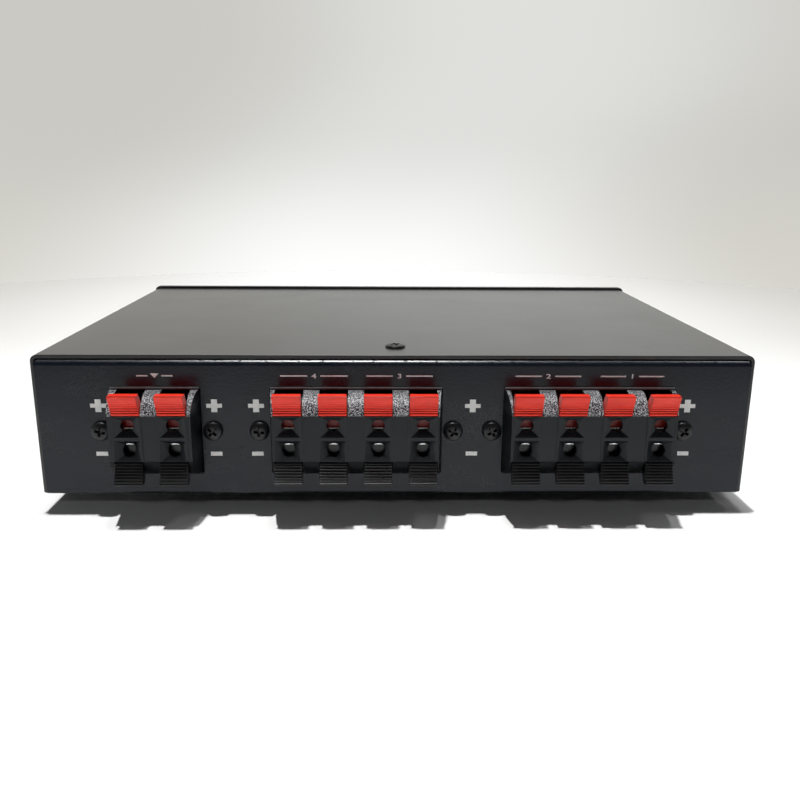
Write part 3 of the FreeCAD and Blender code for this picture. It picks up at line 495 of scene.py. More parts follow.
# Every finish, by the record's material slot, and the printed ink.
PAINT = {
    "cover_paint": cover_coat(),
    "panel_paint": panel_coat(),
    "front_plate": plate_coat(),
    "terminal_housing": housing_plastic(),
    # Each lever's third colour is its painted shade, for its grooves and for its foot inside the block.
    "red_lever": lever_plastic(
        "lever_red", (0.86, 0.042, 0.020), (0.76, 0.030, 0.015), (0.13, 0.006, 0.004), 0.24, 1.42),
    "black_lever": lever_plastic(
        "lever_black", (0.0045, 0.0045, 0.0050), (0.0030, 0.0030, 0.0034), (0.002, 0.002, 0.002),
        0.16, 1.44),
    "contact_metal": contact_tin(),
    "rod_steel": rod_steel(),
    "black_screw": screw_black(),
    "foot_rubber": plain_plastic(
        "foot_rubber", (0.012, 0.012, 0.012), (0.020, 0.020, 0.020), 0.66, 0.5),
    "circuit_board": plain_plastic("board_laminate", (0.30, 0.19, 0.08), (0.38, 0.26, 0.12), 0.42, 0.3),
    "nylon": plain_plastic("nylon", (0.72, 0.71, 0.66), (0.62, 0.61, 0.56), 0.42, 0.5),
    "cement": plain_plastic("cement", (0.66, 0.64, 0.60), (0.54, 0.52, 0.48), 0.78, 0.6, 0.05),
    "switch_shell": plain_plastic("switch_shell", (0.040, 0.041, 0.045), (0.055, 0.056, 0.060), 0.40),
    "button_cap": plain_plastic(
        "button_cap", (0.012, 0.012, 0.013), (0.017, 0.017, 0.018), 0.26, 0.3, 0.006),
    "print": print_ink(),
}


# ---- shape helpers

# Points nearer than MERGE become one, and edges that turn less than STRAIGHT are dropped.
# A face whose edges all turn less than FLAT is shaded flat.
MERGE = 0.001
STRAIGHT = math.radians(0.2)
FLAT = math.radians(0.5)


def spot(axis, u, v, along):
    """A point from its two places across an axis and its place along it."""
    return Vector({"x": (along, u, v), "y": (u, along, v), "z": (u, v, along)}[axis])


def rounded(points, steps):
    """An outline whose corners (u, v, radius) become arcs."""
    drawn = []
    for index, (u, v, radius) in enumerate(points):
        here = Vector((u, v))
        if radius <= 0:
            drawn.append(here)
            continue
        before = (Vector(points[index - 1][:2]) - here).normalized()
        after = (Vector(points[index + 1 - len(points)][:2]) - here).normalized()
        half = before.angle(after) / 2
        centre = here + (before + after).normalized() * (radius / math.sin(half))
        start = here + before * (radius / math.tan(half)) - centre
        sweep = (here + after * (radius / math.tan(half)) - centre).angle_signed(start)
        for step in range(steps + 1):
            drawn.append(centre + Matrix.Rotation(sweep * step / steps, 2) @ start)
    return drawn


def bar(left, right, low, high):
    """A rectangle's outline."""
    return [(left, low), (right, low), (right, high), (left, high)]


def rounded_box(low, high, corner, steps):
    """A rectangle between two corners, its own corners rounded."""
    return rounded([(u, v, corner) for u, v in bar(low[0], high[0], low[1], high[1])], steps)


def cross(reach, rise, thick, stem):
    """A cross's outline: half its width and height, and half its bar's and its stem's thickness."""
    arms = [(stem, thick), (stem, rise), (-stem, rise), (-stem, thick), (-reach, thick), (-reach, -thick)]
    return [(way * u, way * v) for way in (1, -1) for u, v in arms]


def quarter_turn(steps, first=0):
    """Evenly spaced angles of a quarter turn."""
    return [math.pi / 2 * step / steps for step in range(first, steps + 1)]


def full_turn(steps):
    """Evenly spaced angles all round."""
    return [math.tau * step / steps for step in range(steps)]


def bow(start, end, radius, steps):
    """Points of an arc after start and before end; it bulges to the right of the way there."""
    start, end = Vector(start), Vector(end)
    chord = end - start
    right = Vector((chord.y, -chord.x)).normalized()
    rise = math.sqrt(radius ** 2 - (chord.length / 2) ** 2)
    centre = (start + end) / 2 - right * rise
    sweep = (end - centre).angle_signed(start - centre)
    return [centre + Matrix.Rotation(sweep * n / steps, 2) @ (start - centre) for n in range(1, steps)]


def inset(outline, depth):
    """An outline moved inwards by a depth."""
    area = sum(a.x * b.y - b.x * a.y for a, b in zip(outline, outline[1:] + outline[:1]))
    side = 1.0 if area > 0 else -1.0
    moved = []
    for index, here in enumerate(outline):
        before = (here - outline[index - 1]).normalized()
        after = (outline[index + 1 - len(outline)] - here).normalized()
        normal = Vector((-(before + after).y, (before + after).x)).normalized() * side
        moved.append(here + normal * depth / max(0.5, math.cos(before.angle(after) / 2)))
    return moved


def loft(rings):
    """A closed solid through rings of points, each with as many points as the next."""
    solid = bmesh.new()
    rows = [[solid.verts.new(point) for point in ring] for ring in rings]
    for row, following in zip(rows, rows[1:]):
        for index in range(len(row)):
            after = index + 1 - len(row)
            solid.faces.new((row[index], row[after], following[after], following[index]))
    solid.faces.new(rows[0])
    solid.faces.new(rows[-1])
    bmesh.ops.recalc_face_normals(solid, faces=solid.faces)
    return solid


def prism(outline, axis, low, high, ease=0.0, steps=3):
    """An outline drawn along an axis, with its end edges rounded by ease."""
    outline = [Vector(point[:2]) for point in outline]
    if ease <= 0:
        return loft([[spot(axis, u, v, along) for u, v in outline] for along in (low, high)])
    turns = [(ease * (1 - math.sin(a)), ease * (1 - math.cos(a))) for a in quarter_turn(steps)]
    levels = [(low + down, back) for back, down in turns]
    levels += [(high - down, back) for back, down in reversed(turns)]
    return loft([[spot(axis, u, v, along) for u, v in (inset(outline, back) if back else outline)]
                 for along, back in levels])


def block(low, high):
    """A rectangular tool between two corners."""
    return prism(bar(low[0], high[0], low[1], high[1]), "z", low[2], high[2])


def turned(profile, centre, axis, steps=48):
    """A profile (radius, along) turned about an axis through a centre; its ends are closed."""
    centre = Vector(centre)
    return loft([[centre + spot(axis, radius * math.cos(a), radius * math.sin(a), along)
                  for a in full_turn(steps)] for radius, along in profile])


def hoop(size, centre, axis, low, high):
    """A round tool of a diameter between two places along an axis."""
    return turned([(size / 2, low), (size / 2, high)], centre, axis, 36)


def joined(solids):
    """Several solids as one mesh."""
    whole = solids[0]
    for other in solids[1:]:
        mesh = bpy.data.meshes.new("part")
        other.to_mesh(mesh)
        other.free()
        whole.from_mesh(mesh)
        bpy.data.meshes.remove(mesh)
    return whole


def as_object(name, solid, collection=None):
    """An object that holds a solid's mesh; the solid is used up."""
    mesh = bpy.data.meshes.new(name)
    solid.to_mesh(mesh)
    solid.free()
    item = bpy.data.objects.new(name, mesh)
    (collection or bpy.context.scene.collection).objects.link(item)
    return item


def worked_out(item):
    """The solid that an object's modifiers, or a text's letters, come to."""
    graph = bpy.context.evaluated_depsgraph_get()
    mesh = bpy.data.meshes.new_from_object(item.evaluated_get(graph), depsgraph=graph)
    solid = bmesh.new()
    solid.from_mesh(mesh)
    bpy.data.meshes.remove(mesh)
    return solid


def carve(solid, tools, operation="DIFFERENCE"):
    """A solid with the tools cut out of it, or joined to it."""
    bench = bpy.data.collections.new("bench")
    bpy.context.scene.collection.children.link(bench)
    body = as_object("stock", solid)
    cutters = [as_object("tool", tool, bench) for tool in tools]
    boolean = body.modifiers.new("carve", "BOOLEAN")
    boolean.operand_type = "COLLECTION"
    boolean.collection = bench
    boolean.operation = operation
    boolean.solver = "EXACT"
    carved = worked_out(body)
    for item in [body, *cutters]:
        mesh = item.data
        bpy.data.objects.remove(item)
        bpy.data.meshes.remove(mesh)
    bpy.data.collections.remove(bench)
    bmesh.ops.remove_doubles(carved, verts=carved.verts, dist=MERGE)
    bmesh.ops.dissolve_limit(carved, angle_limit=STRAIGHT, verts=carved.verts, edges=carved.edges)
    return carved


def soften(solid, width, least, segments=2, choose=None):
    """Round the outer edges that turn by more than least degrees."""
    edges = [edge for edge in solid.edges
             if edge.is_manifold and edge.is_convex and edge.calc_face_angle() > math.radians(least)
             and (choose is None or choose(edge))]
    bmesh.ops.bevel(solid, geom=edges, offset=width, offset_type="OFFSET", segments=segments,
                    profile=0.5, affect="EDGES", clamp_overlap=True)
    return solid


def finished(name, solid, slot, node=None, body="case", crease=32.0):
    """A piece in its place: mesh in metres, shaded, painted, riding on its body, for its CAD node."""
    for edge in solid.edges:
        edge.smooth = not edge.is_manifold or edge.calc_face_angle(0.0) < math.radians(crease)
    for face in solid.faces:
        bends = [edge.calc_face_angle(0.0) for edge in face.edges if edge.smooth and edge.is_manifold]
        face.smooth = len(face.verts) <= 4 and max(bends, default=0.0) > FLAT
    bmesh.ops.scale(solid, vec=(MM, MM, MM), verts=solid.verts)
    piece = as_object(name, solid)
    piece.data.materials.append(PAINT[slot].material)
    even = piece.modifiers.new("even_shading", "WEIGHTED_NORMAL")
    even.keep_sharp = True
    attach(piece, body)
    if node:
        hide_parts(node)


# ---- case

def make_cover():
    """The folded cover, bent over at both sides, its cut edges just rounded."""
    half, low, top = COVER_HIGH.x, COVER_LOW.z, COVER_HIGH.z
    inner = COVER_BEND - GAUGE
    outline = rounded([
        (-half, low, COVER_LIP), (GAUGE - half, low, 0.0), (GAUGE - half, top - GAUGE, inner),
        (half - GAUGE, top - GAUGE, inner), (half - GAUGE, low, 0.0), (half, low, COVER_LIP),
        (half, top, COVER_BEND), (-half, top, COVER_BEND)], 8)
    shell = prism(outline, "y", COVER_LOW.y, COVER_HIGH.y, SHEET_EDGE)
    screw_low, screw_high = corners("cover_screw")
    screw_y = (screw_low.y + screw_high.y) / 2
    shell = carve(shell, [hoop(SCREW_HOLE, (0.0, screw_y, 0.0), "z", top - 3 * GAUGE, top + GAUGE)])
    finished("cover_shell", shell, "cover_paint", "top_cover")


def opening(block_name):
    """The middle of a terminal block's opening and half its width."""
    low, high = corners(f"terminal_block_{block_name}")
    return middle_x(f"terminal_block_{block_name}"), (high.x - low.x) / 2 - EAR_REACH


def screw_places(block_name):
    """Where the two screws beside a terminal block stand, across the panel."""
    centre, half = opening(block_name)
    return [centre + side * (half + EAR_REACH - EAR_SPARE) for side in (-1, 1)]


def make_tray():
    """The tray: floor, bent-over terminal panel with its openings, front wall and flanges."""
    low, high = TRAY_LOW, TRAY_HIGH
    half, top, floor = high.x, high.z, low.z + GAUGE
    inner = PANEL_BEND - GAUGE
    profile = rounded([
        (low.y, low.z, TRAY_BEND), (high.y, low.z, TRAY_BEND), (high.y, top, 0.0),
        (high.y - GAUGE, top, 0.0), (high.y - GAUGE, floor, 0.0),
        (REAR + GAUGE, floor, 0.0), (REAR + GAUGE, top - GAUGE, inner),
        (REAR + TOP_FLANGE, top - GAUGE, 0.0), (REAR + TOP_FLANGE, top, 0.0),
        (low.y, top, PANEL_BEND)], 10)
    shell = prism(profile, "x", -half, half)
    extras = [block((x, REAR + 2 * GAUGE, floor - SUNK),
                    (x + GAUGE, high.y - 2 * GAUGE, floor + SIDE_FLANGE)) for x in (-half, half - GAUGE)]
    extras.append(block((-TAB_WIDTH / 2, REAR + PANEL_BEND, top - GAUGE),
                        (TAB_WIDTH / 2, REAR + TAB_LENGTH, top)))
    shell = carve(shell, extras, "UNION")
    windows = [window(name, WALL_MARGIN, high.y - 2 * GAUGE, high.y + SPARE) for name in BUTTONS]
    shell = carve(shell, panel_tools() + windows + relief_tools(half, top))
    screws = [x for name in BLOCKS for x in screw_places(name)]
    soften(shell, SHEET_EDGE, 50.0, choose=lambda edge: all(
        max(abs(edge.verts[0].co.x - x), abs(edge.verts[0].co.z - BLOCK_Z)) > SCREW_CLEAR for x in screws))
    finished("tray_shell", shell, "panel_paint", "chassis_tray")


def relief_tools(half, top):
    """The cut-back corners of the tray's walls, clear of the cover's bends."""
    tools = []
    for side in (-1, 1):
        outline = [(side * (half - CORNER_RELIEF), top), (side * half, top - CORNER_RELIEF),
                   (side * (half + SPARE), top - CORNER_RELIEF), (side * (half + SPARE), top + SPARE),
                   (side * (half - CORNER_RELIEF), top + SPARE)]
        tools.append(prism(outline, "y", TRAY_LOW.y - SPARE, TRAY_HIGH.y + SPARE))
    return tools


def panel_tools():
    """The openings for the three terminal blocks and the holes for their screws."""
    tools = []
    for name in BLOCKS:
        centre, half = opening(name)
        outline = rounded_box((centre - half, BLOCK_Z - CUTOUT_HEIGHT / 2),
                              (centre + half, BLOCK_Z + CUTOUT_HEIGHT / 2), CUTOUT_CORNER, 5)
        tools.append(prism(outline, "y", REAR - SPARE, REAR + GAUGE + SPARE))
        tools += [hoop(SCREW_HOLE, (x, 0.0, BLOCK_Z), "y", REAR - SPARE, REAR + GAUGE + SPARE)
                  for x in screw_places(name)]
    return tools


def window(name, gap, back, front):
    """A tool that cuts a button's window, wider than its cap by a gap all round."""
    low, high = corners(f"button_{name}")
    return block((low.x - gap, back, low.z - gap), (high.x + gap, front, high.z + gap))


def make_face_plate():
    """The face plate: rounded corners, eased front edge and five windows."""
    low, high = PLATE_LOW, PLATE_HIGH
    plate = prism(rounded_box(low.xz, high.xz, PLATE_CORNER, 6), "y", low.y, high.y)
    soften(plate, PLATE_EASE, 50.0, 4, lambda edge: min(v.co.y for v in edge.verts) > high.y - NEAR)
    plate = carve(plate, [window(name, WINDOW_GAP, low.y - SPARE, high.y + SPARE) for name in BUTTONS])
    soften(plate, WINDOW_EASE, 60.0)
    finished("face_plate_shell", plate, "front_plate", "face_plate")


def make_feet():
    """Four rubber feet, tapered, with rounded rims and a dished sole."""
    for number in (1, 2, 3, 4):
        low, high = corners(f"foot_{number}")
        centre = ((low.x + high.x) / 2, (low.y + high.y) / 2, 0.0)
        top_radius = (high.x - low.x) / 2
        sole = top_radius - FOOT_DRAFT
        profile = [(FOOT_MIDDLE, FOOT_DISH)] + [(sole - back, up) for back, up in FOOT_LIP]
        profile.append((sole - FOOT_RIM, 0.0))
        profile += [(sole - FOOT_RIM * (1 - math.sin(a)), FOOT_RIM * (1 - math.cos(a)))
                    for a in quarter_turn(4, 1)]
        profile += [(top_radius - back, high.z - down) for back, down in FOOT_TOP]
        profile.append((FOOT_MIDDLE, high.z))
        finished(f"rubber_foot_{number}", turned(profile, centre, "z"), "foot_rubber", f"foot_{number}")


# ---- screws

def screw_solid(seat, axis, way, head, rise, shank, turn):
    """A cross-recess domed screw: way is the side its head faces, turn the cross's angle."""
    radius = head / 2
    profile = [(SHANK_TIP, -shank), (SHANK_RADIUS, SHANK_POINT - shank), (SHANK_RADIUS, 0.0),
               (radius - HEAD_BEVEL, 0.0), (radius, HEAD_BEVEL), (radius, rise * HEAD_RIM)]
    profile += [(radius - (radius - HEAD_FLAT) * (1 - math.cos(a)) ** HEAD_ROUND,
                 rise * (HEAD_RIM + (1 - HEAD_RIM) * math.sin(a))) for a in quarter_turn(8, 1)]
    profile.append((HEAD_MIDDLE, rise))
    body = turned([(r, way * along) for r, along in profile], (0, 0, 0), axis, 40)
    body = carve(body, [cross_tool(axis, way, rise)])
    soften(body, SCREW_EASE, 45.0)
    bmesh.ops.rotate(body, cent=(0, 0, 0), matrix=Matrix.Rotation(math.radians(turn), 3, axis.upper()),
                     verts=body.verts)
    bmesh.ops.translate(body, vec=Vector(seat), verts=body.verts)
    return body


def cross_tool(axis, way, rise):
    """The tapered cross that a driver fits: wide at the head's top, narrow at its foot."""
    return loft([[spot(axis, u, v, way * (rise + above)) for u, v in cross(reach, reach, wall, wall)]
                 for above, reach, wall in (CROSS_MOUTH, CROSS_FOOT)])


def make_screws():
    """Six screws beside the terminal blocks and one in the cover."""
    places = [x for name in BLOCKS for x in screw_places(name)]
    solids = [screw_solid((x, REAR, BLOCK_Z), "y", -1, SCREW_HEAD, SCREW_RISE, SCREW_SHANK, turn)
              for x, turn in zip(places, PANEL_TURNS)]
    finished("terminal_screw_set", joined(solids), "black_screw", "terminal_screws")
    low, high = corners("cover_screw")
    seat = (0.0, (low.y + high.y) / 2, COVER_HIGH.z)
    head = screw_solid(seat, "z", 1, high.x - low.x, high.z - seat[2], COVER_SHANK, COVER_TURN)
    finished("cover_screw_head", head, "black_screw", "cover_screw")


# ---- terminals

def block_side():
    """A terminal block's side view: flat face, round shoulders and square back."""
    out = REAR - SHOULDER_OUT
    nose = REAR - NOSE_OUT
    half = CUTOUT_HEIGHT / 2 - CUTOUT_GAP
    low_face, low_rim = (nose, BLOCK_Z - FACE_HALF), (out, BLOCK_Z - SHOULDER_HALF)
    top_rim, top_face = (out, BLOCK_Z + SHOULDER_HALF), (nose, BLOCK_Z + FACE_HALF)
    return ([low_face] + bow(low_face, low_rim, SHOULDER_RADIUS, 14)
            + [low_rim, (out, BLOCK_Z - half), (REAR + BLOCK_DEPTH, BLOCK_Z - half),
               (REAR + BLOCK_DEPTH, BLOCK_Z + half), (out, BLOCK_Z + half), top_rim]
            + bow(top_rim, top_face, SHOULDER_RADIUS, 14) + [top_face])


def taper_tools(centre, half):
    """The wedges that narrow a block towards its face."""
    wide = half - CUTOUT_GAP
    slope = END_TAPER / NOSE_OUT
    tools = []
    for side in (-1, 1):
        beyond = NOSE_OUT + SPARE
        outline = [(centre + side * (wide - slope * beyond), REAR - beyond), (centre + side * wide, REAR),
                   (centre + side * (wide + SPARE), REAR), (centre + side * (wide + SPARE), REAR - beyond)]
        tools.append(prism(outline, "z", BLOCK_Z - CUTOUT_HEIGHT, BLOCK_Z + CUTOUT_HEIGHT))
    return tools


def column_tools(across, level):
    """One column's lever slot, funnel and wire hole, above (1) or below (-1) the middle."""
    nose, top = REAR - NOSE_OUT, CUTOUT_HEIGHT / 2 - CUTOUT_GAP - RIM_WALL
    slot = [(REAR - FRONT_INNER_OUT, MID_WALL / 2), (REAR + BLOCK_DEPTH + SPARE, MID_WALL / 2),
            (REAR + BLOCK_DEPTH + SPARE, top), (nose - SPARE, top),
            (nose - SPARE, FACE_HALF), (REAR - FRONT_INNER_OUT, FACE_HALF)]
    slot = [(y, BLOCK_Z + level * z) for y, z in slot]
    tools = [prism(slot, "x", across - SLOT_WIDTH / 2, across + SLOT_WIDTH / 2)]
    hole_z = BLOCK_Z + level * WIRE_HALF
    stretch = 1.0 + SPARE / 2 / FUNNEL_DEPTH
    inner_depth = FUNNEL_DEPTH if level > 0 else FUNNEL_DEEP
    rings = []
    for share in (stretch, 0.0):
        half_width = THROAT / 2 + share * (FUNNEL_WIDTH - THROAT) / 2
        low = THROAT / 2 + share * (WIRE_HALF - FUNNEL_LOW - THROAT / 2)
        high = THROAT / 2 + share * (FUNNEL_HIGH - WIRE_HALF - THROAT / 2)
        rings.append([Vector((across + a * half_width, nose + deep * (1.0 - share), hole_z + level * z))
                      for a, z, deep in ((-1, -low, inner_depth), (1, -low, inner_depth),
                                         (1, high, FUNNEL_DEPTH), (-1, high, FUNNEL_DEPTH))])
    tools.append(loft(rings))
    tools.append(hoop(WIRE_SIZE, (across, 0.0, hole_z), "y", nose + FUNNEL_DEPTH / 4,
                      REAR - FRONT_INNER_OUT + SPARE / 2))
    return tools


def strip_tools(name, centre, half):
    """The shallow strips between the columns of a block's face."""
    places = [COLUMN_X[column] for column in BLOCKS[name]]
    edges = [centre - half - SPARE] + [x + side * MODULE_WIDTH / 2 for x in places for side in (-1, 1)]
    edges.append(centre + half + SPARE)
    nose = REAR - NOSE_OUT
    return [block((left, nose - SPARE, BLOCK_Z - FACE_HALF - SPARE),
                  (right, nose + MODULE_STEP, BLOCK_Z + FACE_HALF + SPARE))
            for left, right in zip(edges[2:-1:2], edges[3::2])]


def make_blocks():
    """Three terminal blocks, each cut from its side view."""
    for name, columns in BLOCKS.items():
        centre, half = opening(name)
        solid = prism(block_side(), "x", centre - half + CUTOUT_GAP, centre + half - CUTOUT_GAP)
        wide, high = half + EAR_REACH, CUTOUT_HEIGHT / 2 + EAR_LIP
        ears = block((centre - wide, REAR + GAUGE, BLOCK_Z - high),
                     (centre + wide, REAR + GAUGE + EAR_THICKNESS, BLOCK_Z + high))
        solid = carve(solid, [ears], "UNION")
        tools = taper_tools(centre, half) + strip_tools(name, centre, half)
        tools += [hoop(EAR_HOLE, (x, 0.0, BLOCK_Z), "y", REAR, REAR + 2 * EAR_THICKNESS + GAUGE)
                  for x in screw_places(name)]
        reach = ((len(columns) - 1) * PITCH + SLOT_WIDTH) / 2 + ROD_HOLD
        groove = ROD_SIZE / 2 + ROD_GAP
        for rod_z in (BLOCK_Z - PIVOT_RISE, BLOCK_Z + PIVOT_RISE):
            tools.append(block((centre - reach, REAR - PIVOT_OUT - groove, rod_z - groove),
                               (centre + reach, REAR + BLOCK_DEPTH + SPARE, rod_z + groove)))
        for column in columns:
            for level in (1, -1):
                tools += column_tools(COLUMN_X[column], level)
        solid = carve(solid, tools)
        soften(solid, BLOCK_EASE, 42.0)
        finished(f"block_{name}", solid, "terminal_housing", f"terminal_block_{name}")


def rib_face(fading):
    """The tab's front from its foot to its tip: rounded ribs whose grooves get shallower."""
    along = Vector((-math.sin(LEVER_LEAN), math.cos(LEVER_LEAN)))
    inwards = Vector((math.cos(LEVER_LEAN), math.sin(LEVER_LEAN)))
    foot = Vector((-NOSE_OUT, LEVER_BASE))
    points = []
    for step in range(RIB_COUNT * RIB_STEPS + 1):
        share = step / RIB_STEPS
        wave = 0.5 - 0.5 * math.cos(2 * math.pi * share)
        fade = (1.0 - share / RIB_COUNT) ** fading
        reach = RIB_START + share * RIB_PITCH
        points.append(foot + along * reach + inwards * (RIB_DEPTH * fade * wave ** RIB_ROUND))
    return points


def lever_side(fading):
    """A lever's side view, out from the panel and up from the block's middle."""
    tip = Vector((-NOSE_OUT - LEVER_FACE * math.sin(LEVER_LEAN),
                  LEVER_BASE + LEVER_FACE * math.cos(LEVER_LEAN)))
    blade_out = PIVOT_OUT + HUB
    saddle = ROD_SIZE / 2 + ROD_GAP
    reach, seat = saddle * math.cos(SADDLE_TILT), PIVOT_RISE + saddle * math.sin(SADDLE_TILT)
    foot = PIVOT_RISE - SADDLE_LEG
    left, right = (-PIVOT_OUT - reach, seat), (reach - PIVOT_OUT, seat)
    arch = bow(right, left, saddle, 8)
    tip_corner = rounded([
        (-blade_out + BLADE, HEEL, 0.0),
        (tip.x + LEVER_TIP, tip.y + LEVER_TIP_RISE, TIP_BACK),
        (tip.x, tip.y, TIP_FRONT),
        (-NOSE_OUT - FACE_START[0], LEVER_BASE + FACE_START[1], 0.0)], 4)[1:-1]
    return ([Vector(p) for p in [(-blade_out, foot), (-PIVOT_OUT - reach, foot), left]]
            + list(reversed(arch))
            + [Vector(p) for p in [right, (reach - PIVOT_OUT, foot), (HUB - PIVOT_OUT, foot),
                                   (HUB - PIVOT_OUT, PIVOT_RISE), (-blade_out + BLADE, HEEL)]]
            + tip_corner + list(reversed(rib_face(fading)))
            + [Vector((back - NOSE_OUT, LEVER_BASE + rise)) for back, rise in CHIN]
            + [Vector(p) for p in [(-blade_out - THROAT_BEVEL, LEVER_BASE),
                                   (-blade_out, LEVER_BASE - THROAT_BEVEL)]])


def make_levers():
    """Twenty levers: red ones above the wire holes and black ones upside down below them."""
    for column in COLUMNS:
        across = COLUMN_X[column]
        for colour, level in (("red", 1), ("black", -1)):
            outline = [(REAR + y, BLOCK_Z + level * z) for y, z in lever_side(RIB_FADE[colour])]
            half = LEVER_WIDTH / 2
            solid = prism(outline, "x", across - half, across + half, LEVER_EASE, 2)
            node = f"lever_{column}_{colour}"
            finished(f"tab_{column}_{colour}", solid, f"{colour}_lever", node, node, crease=50.0)


# ---- buttons

def make_buttons():
    """Five button caps: soft-edged shells with a shallow dished face."""
    for name in BUTTONS:
        low, high = corners(f"button_{name}")
        outline = rounded_box(low.xz, high.xz, CAP_CORNER, 5)
        levels = [(low.y, 0.0), (high.y - CAP_EDGE, 0.0)]
        levels += [(high.y - CAP_EDGE * (1 - math.sin(a)), CAP_EDGE * (1 - math.cos(a)))
                   for a in quarter_turn(5, 1)]
        rings = [[spot("y", u, v, along) for u, v in (inset(outline, back) if back else outline)]
                 for along, back in levels]
        centre = Vector(((low.x + high.x) / 2, high.y, (low.z + high.z) / 2))
        rings += [[centre.lerp(point, share) - Vector((0.0, deep, 0.0)) for point in rings[-1]]
                  for share, deep in CAP_DISH]
        hollow = window(name, -CAP_WALL, low.y - SPARE, low.y + CAP_DEPTH)
        cap = carve(loft(rings), [hollow])
        finished(f"cap_{name}", cap, "button_cap", f"button_{name}", f"button_{name}_body")


# ---- printing

# What is printed faces back (-1) on the terminal panel or forward (1) on the face plate, and
# stands out from it by INK. PLUS is a cross's sizes; a label's rules run between two places.
SURFACE = {-1: REAR, 1: PLATE_HIGH.y}
INK = 0.02
STROKE = 0.012
MARK_X = (-94.0, -57.5, -44.3, 24.6, 93.6)
PLUS = (2.5, 2.1, 0.65, 0.95)
PLUS_Z = 36.8
MINUS_Z = 20.8
LABEL_Z = 46.55
LABEL_HEIGHT = 1.5
LABELS = {"": (-81.3, -70.0), "4": (-36.4, -15.2), "3": (-9.3, 11.6), "2": (37.9, 58.8), "1": (65.0, 85.2)}
MINUS_REACH = 1.85
MINUS_RISE = 0.68
RULE = 0.21
RULE_GAP = 2.1
ARROW_REACH = 1.3
LABEL_WIDEN = 1.5
FRONT_RISE = 4.6
FRONT_HEIGHT = 2.6
FRONT_WIDEN = 1.3
DOT_SIDES = 24


def flat_shape(outline, facing):
    """A printed shape on the rear panel or the face plate."""
    return prism(outline, "y", SURFACE[facing] - facing * INK, SURFACE[facing] + facing * INK)


def digit(text, x, z, height, widen, facing):
    """A plain digit of a height, drawn wide, as thin ink."""
    letters = bpy.data.curves.new("digit", "FONT")
    letters.body = text
    letters.extrude = 0.5
    letters.offset = STROKE
    carrier = bpy.data.objects.new("digit", letters)
    bpy.context.scene.collection.objects.link(carrier)
    shape = worked_out(carrier)
    bpy.data.objects.remove(carrier)
    bpy.data.curves.remove(letters)
    bmesh.ops.remove_doubles(shape, verts=shape.verts, dist=1e-5)
    left, low = (min(vert.co[axis] for vert in shape.verts) for axis in (0, 1))
    right, high = (max(vert.co[axis] for vert in shape.verts) for axis in (0, 1))
    scale = height / (high - low)
    for vert in shape.verts:
        u = (vert.co.x - (left + right) / 2) * scale * widen
        v = (vert.co.y - (low + high) / 2) * scale
        deep = INK if vert.co.z > 0 else -INK
        vert.co = (x - facing * u, SURFACE[facing] + facing * deep, z + v)
    bmesh.ops.recalc_face_normals(shape, faces=shape.faces)
    return shape


def make_print():
    """Plus and minus signs, a ruled digit over each output and digits over the buttons."""
    outlines = []
    for x in MARK_X:
        outlines.append([(x + u, PLUS_Z + v) for u, v in cross(*PLUS)])
        outlines.append(bar(x - MINUS_REACH, x + MINUS_REACH, MINUS_Z - MINUS_RISE, MINUS_Z + MINUS_RISE))
    digits = []
    for text, (left, right) in LABELS.items():
        middle = (left + right) / 2
        outlines += [bar(start, end, LABEL_Z - RULE, LABEL_Z + RULE)
                     for start, end in ((left, middle - RULE_GAP), (middle + RULE_GAP, right))]
        if text:
            digits.append(digit(text, middle, LABEL_Z, LABEL_HEIGHT, LABEL_WIDEN, -1))
        else:
            top, foot = LABEL_Z + LABEL_HEIGHT / 2, LABEL_Z - LABEL_HEIGHT / 2
            outlines.append([(middle - ARROW_REACH, top), (middle, foot), (middle + ARROW_REACH, top)])
    rear = [flat_shape(outline, -1) for outline in outlines] + digits
    finished("rear_print", joined(rear), "print")
    front = []
    for name in BUTTONS:
        x, z = middle_x(f"button_{name}"), corners(f"button_{name}")[1].z + FRONT_RISE
        if name == "protect":
            front.append(flat_shape([(x + math.cos(a), z + math.sin(a)) for a in full_turn(DOT_SIDES)], 1))
        else:
            front.append(digit(name, x, z, FRONT_HEIGHT, FRONT_WIDEN, 1))
    finished("front_print", joined(front), "print")


# ---- inner pieces

def paint_nodes():
    """Give each node that stays on show the finish of its slot."""
    for part in frame["record"]["subparts"]:
        node = frame["nodes"][part["node"]]
        finish = PAINT[part["material_slot"]].material
        if not node.material_slots:
            node.data.materials.append(finish)
        for slot in node.material_slots:
            slot.material = finish


# ---- studio

FLOOR_RADIUS = 0.62
COVE_RADIUS = 0.30
WALL_TOP = 1.5
FLAG_RADIUS = 0.14
FLAG_RISE = 0.004
SKY_COLOUR = (0.95, 0.97, 1.0, 1.0)
SKY_STRENGTH = 0.03
LAMP_TARGET = (0.0, -0.05, 0.0)


def glow(finish, colour):
    """Make a finish plain light that the camera, gloss and glass see but that lights nothing."""
    path = [finish.node("ShaderNodeLightPath", output=name)
            for name in ("Is Camera Ray", "Is Glossy Ray", "Is Transmission Ray")]
    seen = path[0].higher(path[1]).higher(path[2])
    finish.show(finish.node("ShaderNodeEmission", None, {"Color": colour, "Strength": seen}))


def make_floor():
    """A round white table top, its colour darkened towards the sides and the far edge: painted shade."""
    paper = Finish("floor_paper", roughness=0.8, specular_ior_level=0.1)
    x, y, _ = [axis * MM for axis in paper.axes()]
    # Painted shade: the paper's colour darkens towards the sides and the far edge.
    corner = abs(x).rise(0.04, 0.42) * y.rise(-0.02, 0.26)
    paper.set(base_color=paper.mix(corner, (0.90, 0.90, 0.895), (0.585, 0.575, 0.54)))
    disc = bmesh.new()
    bmesh.ops.create_circle(disc, cap_ends=True, segments=96, radius=FLOOR_RADIUS)
    return stage_object("floor", disc, paper)


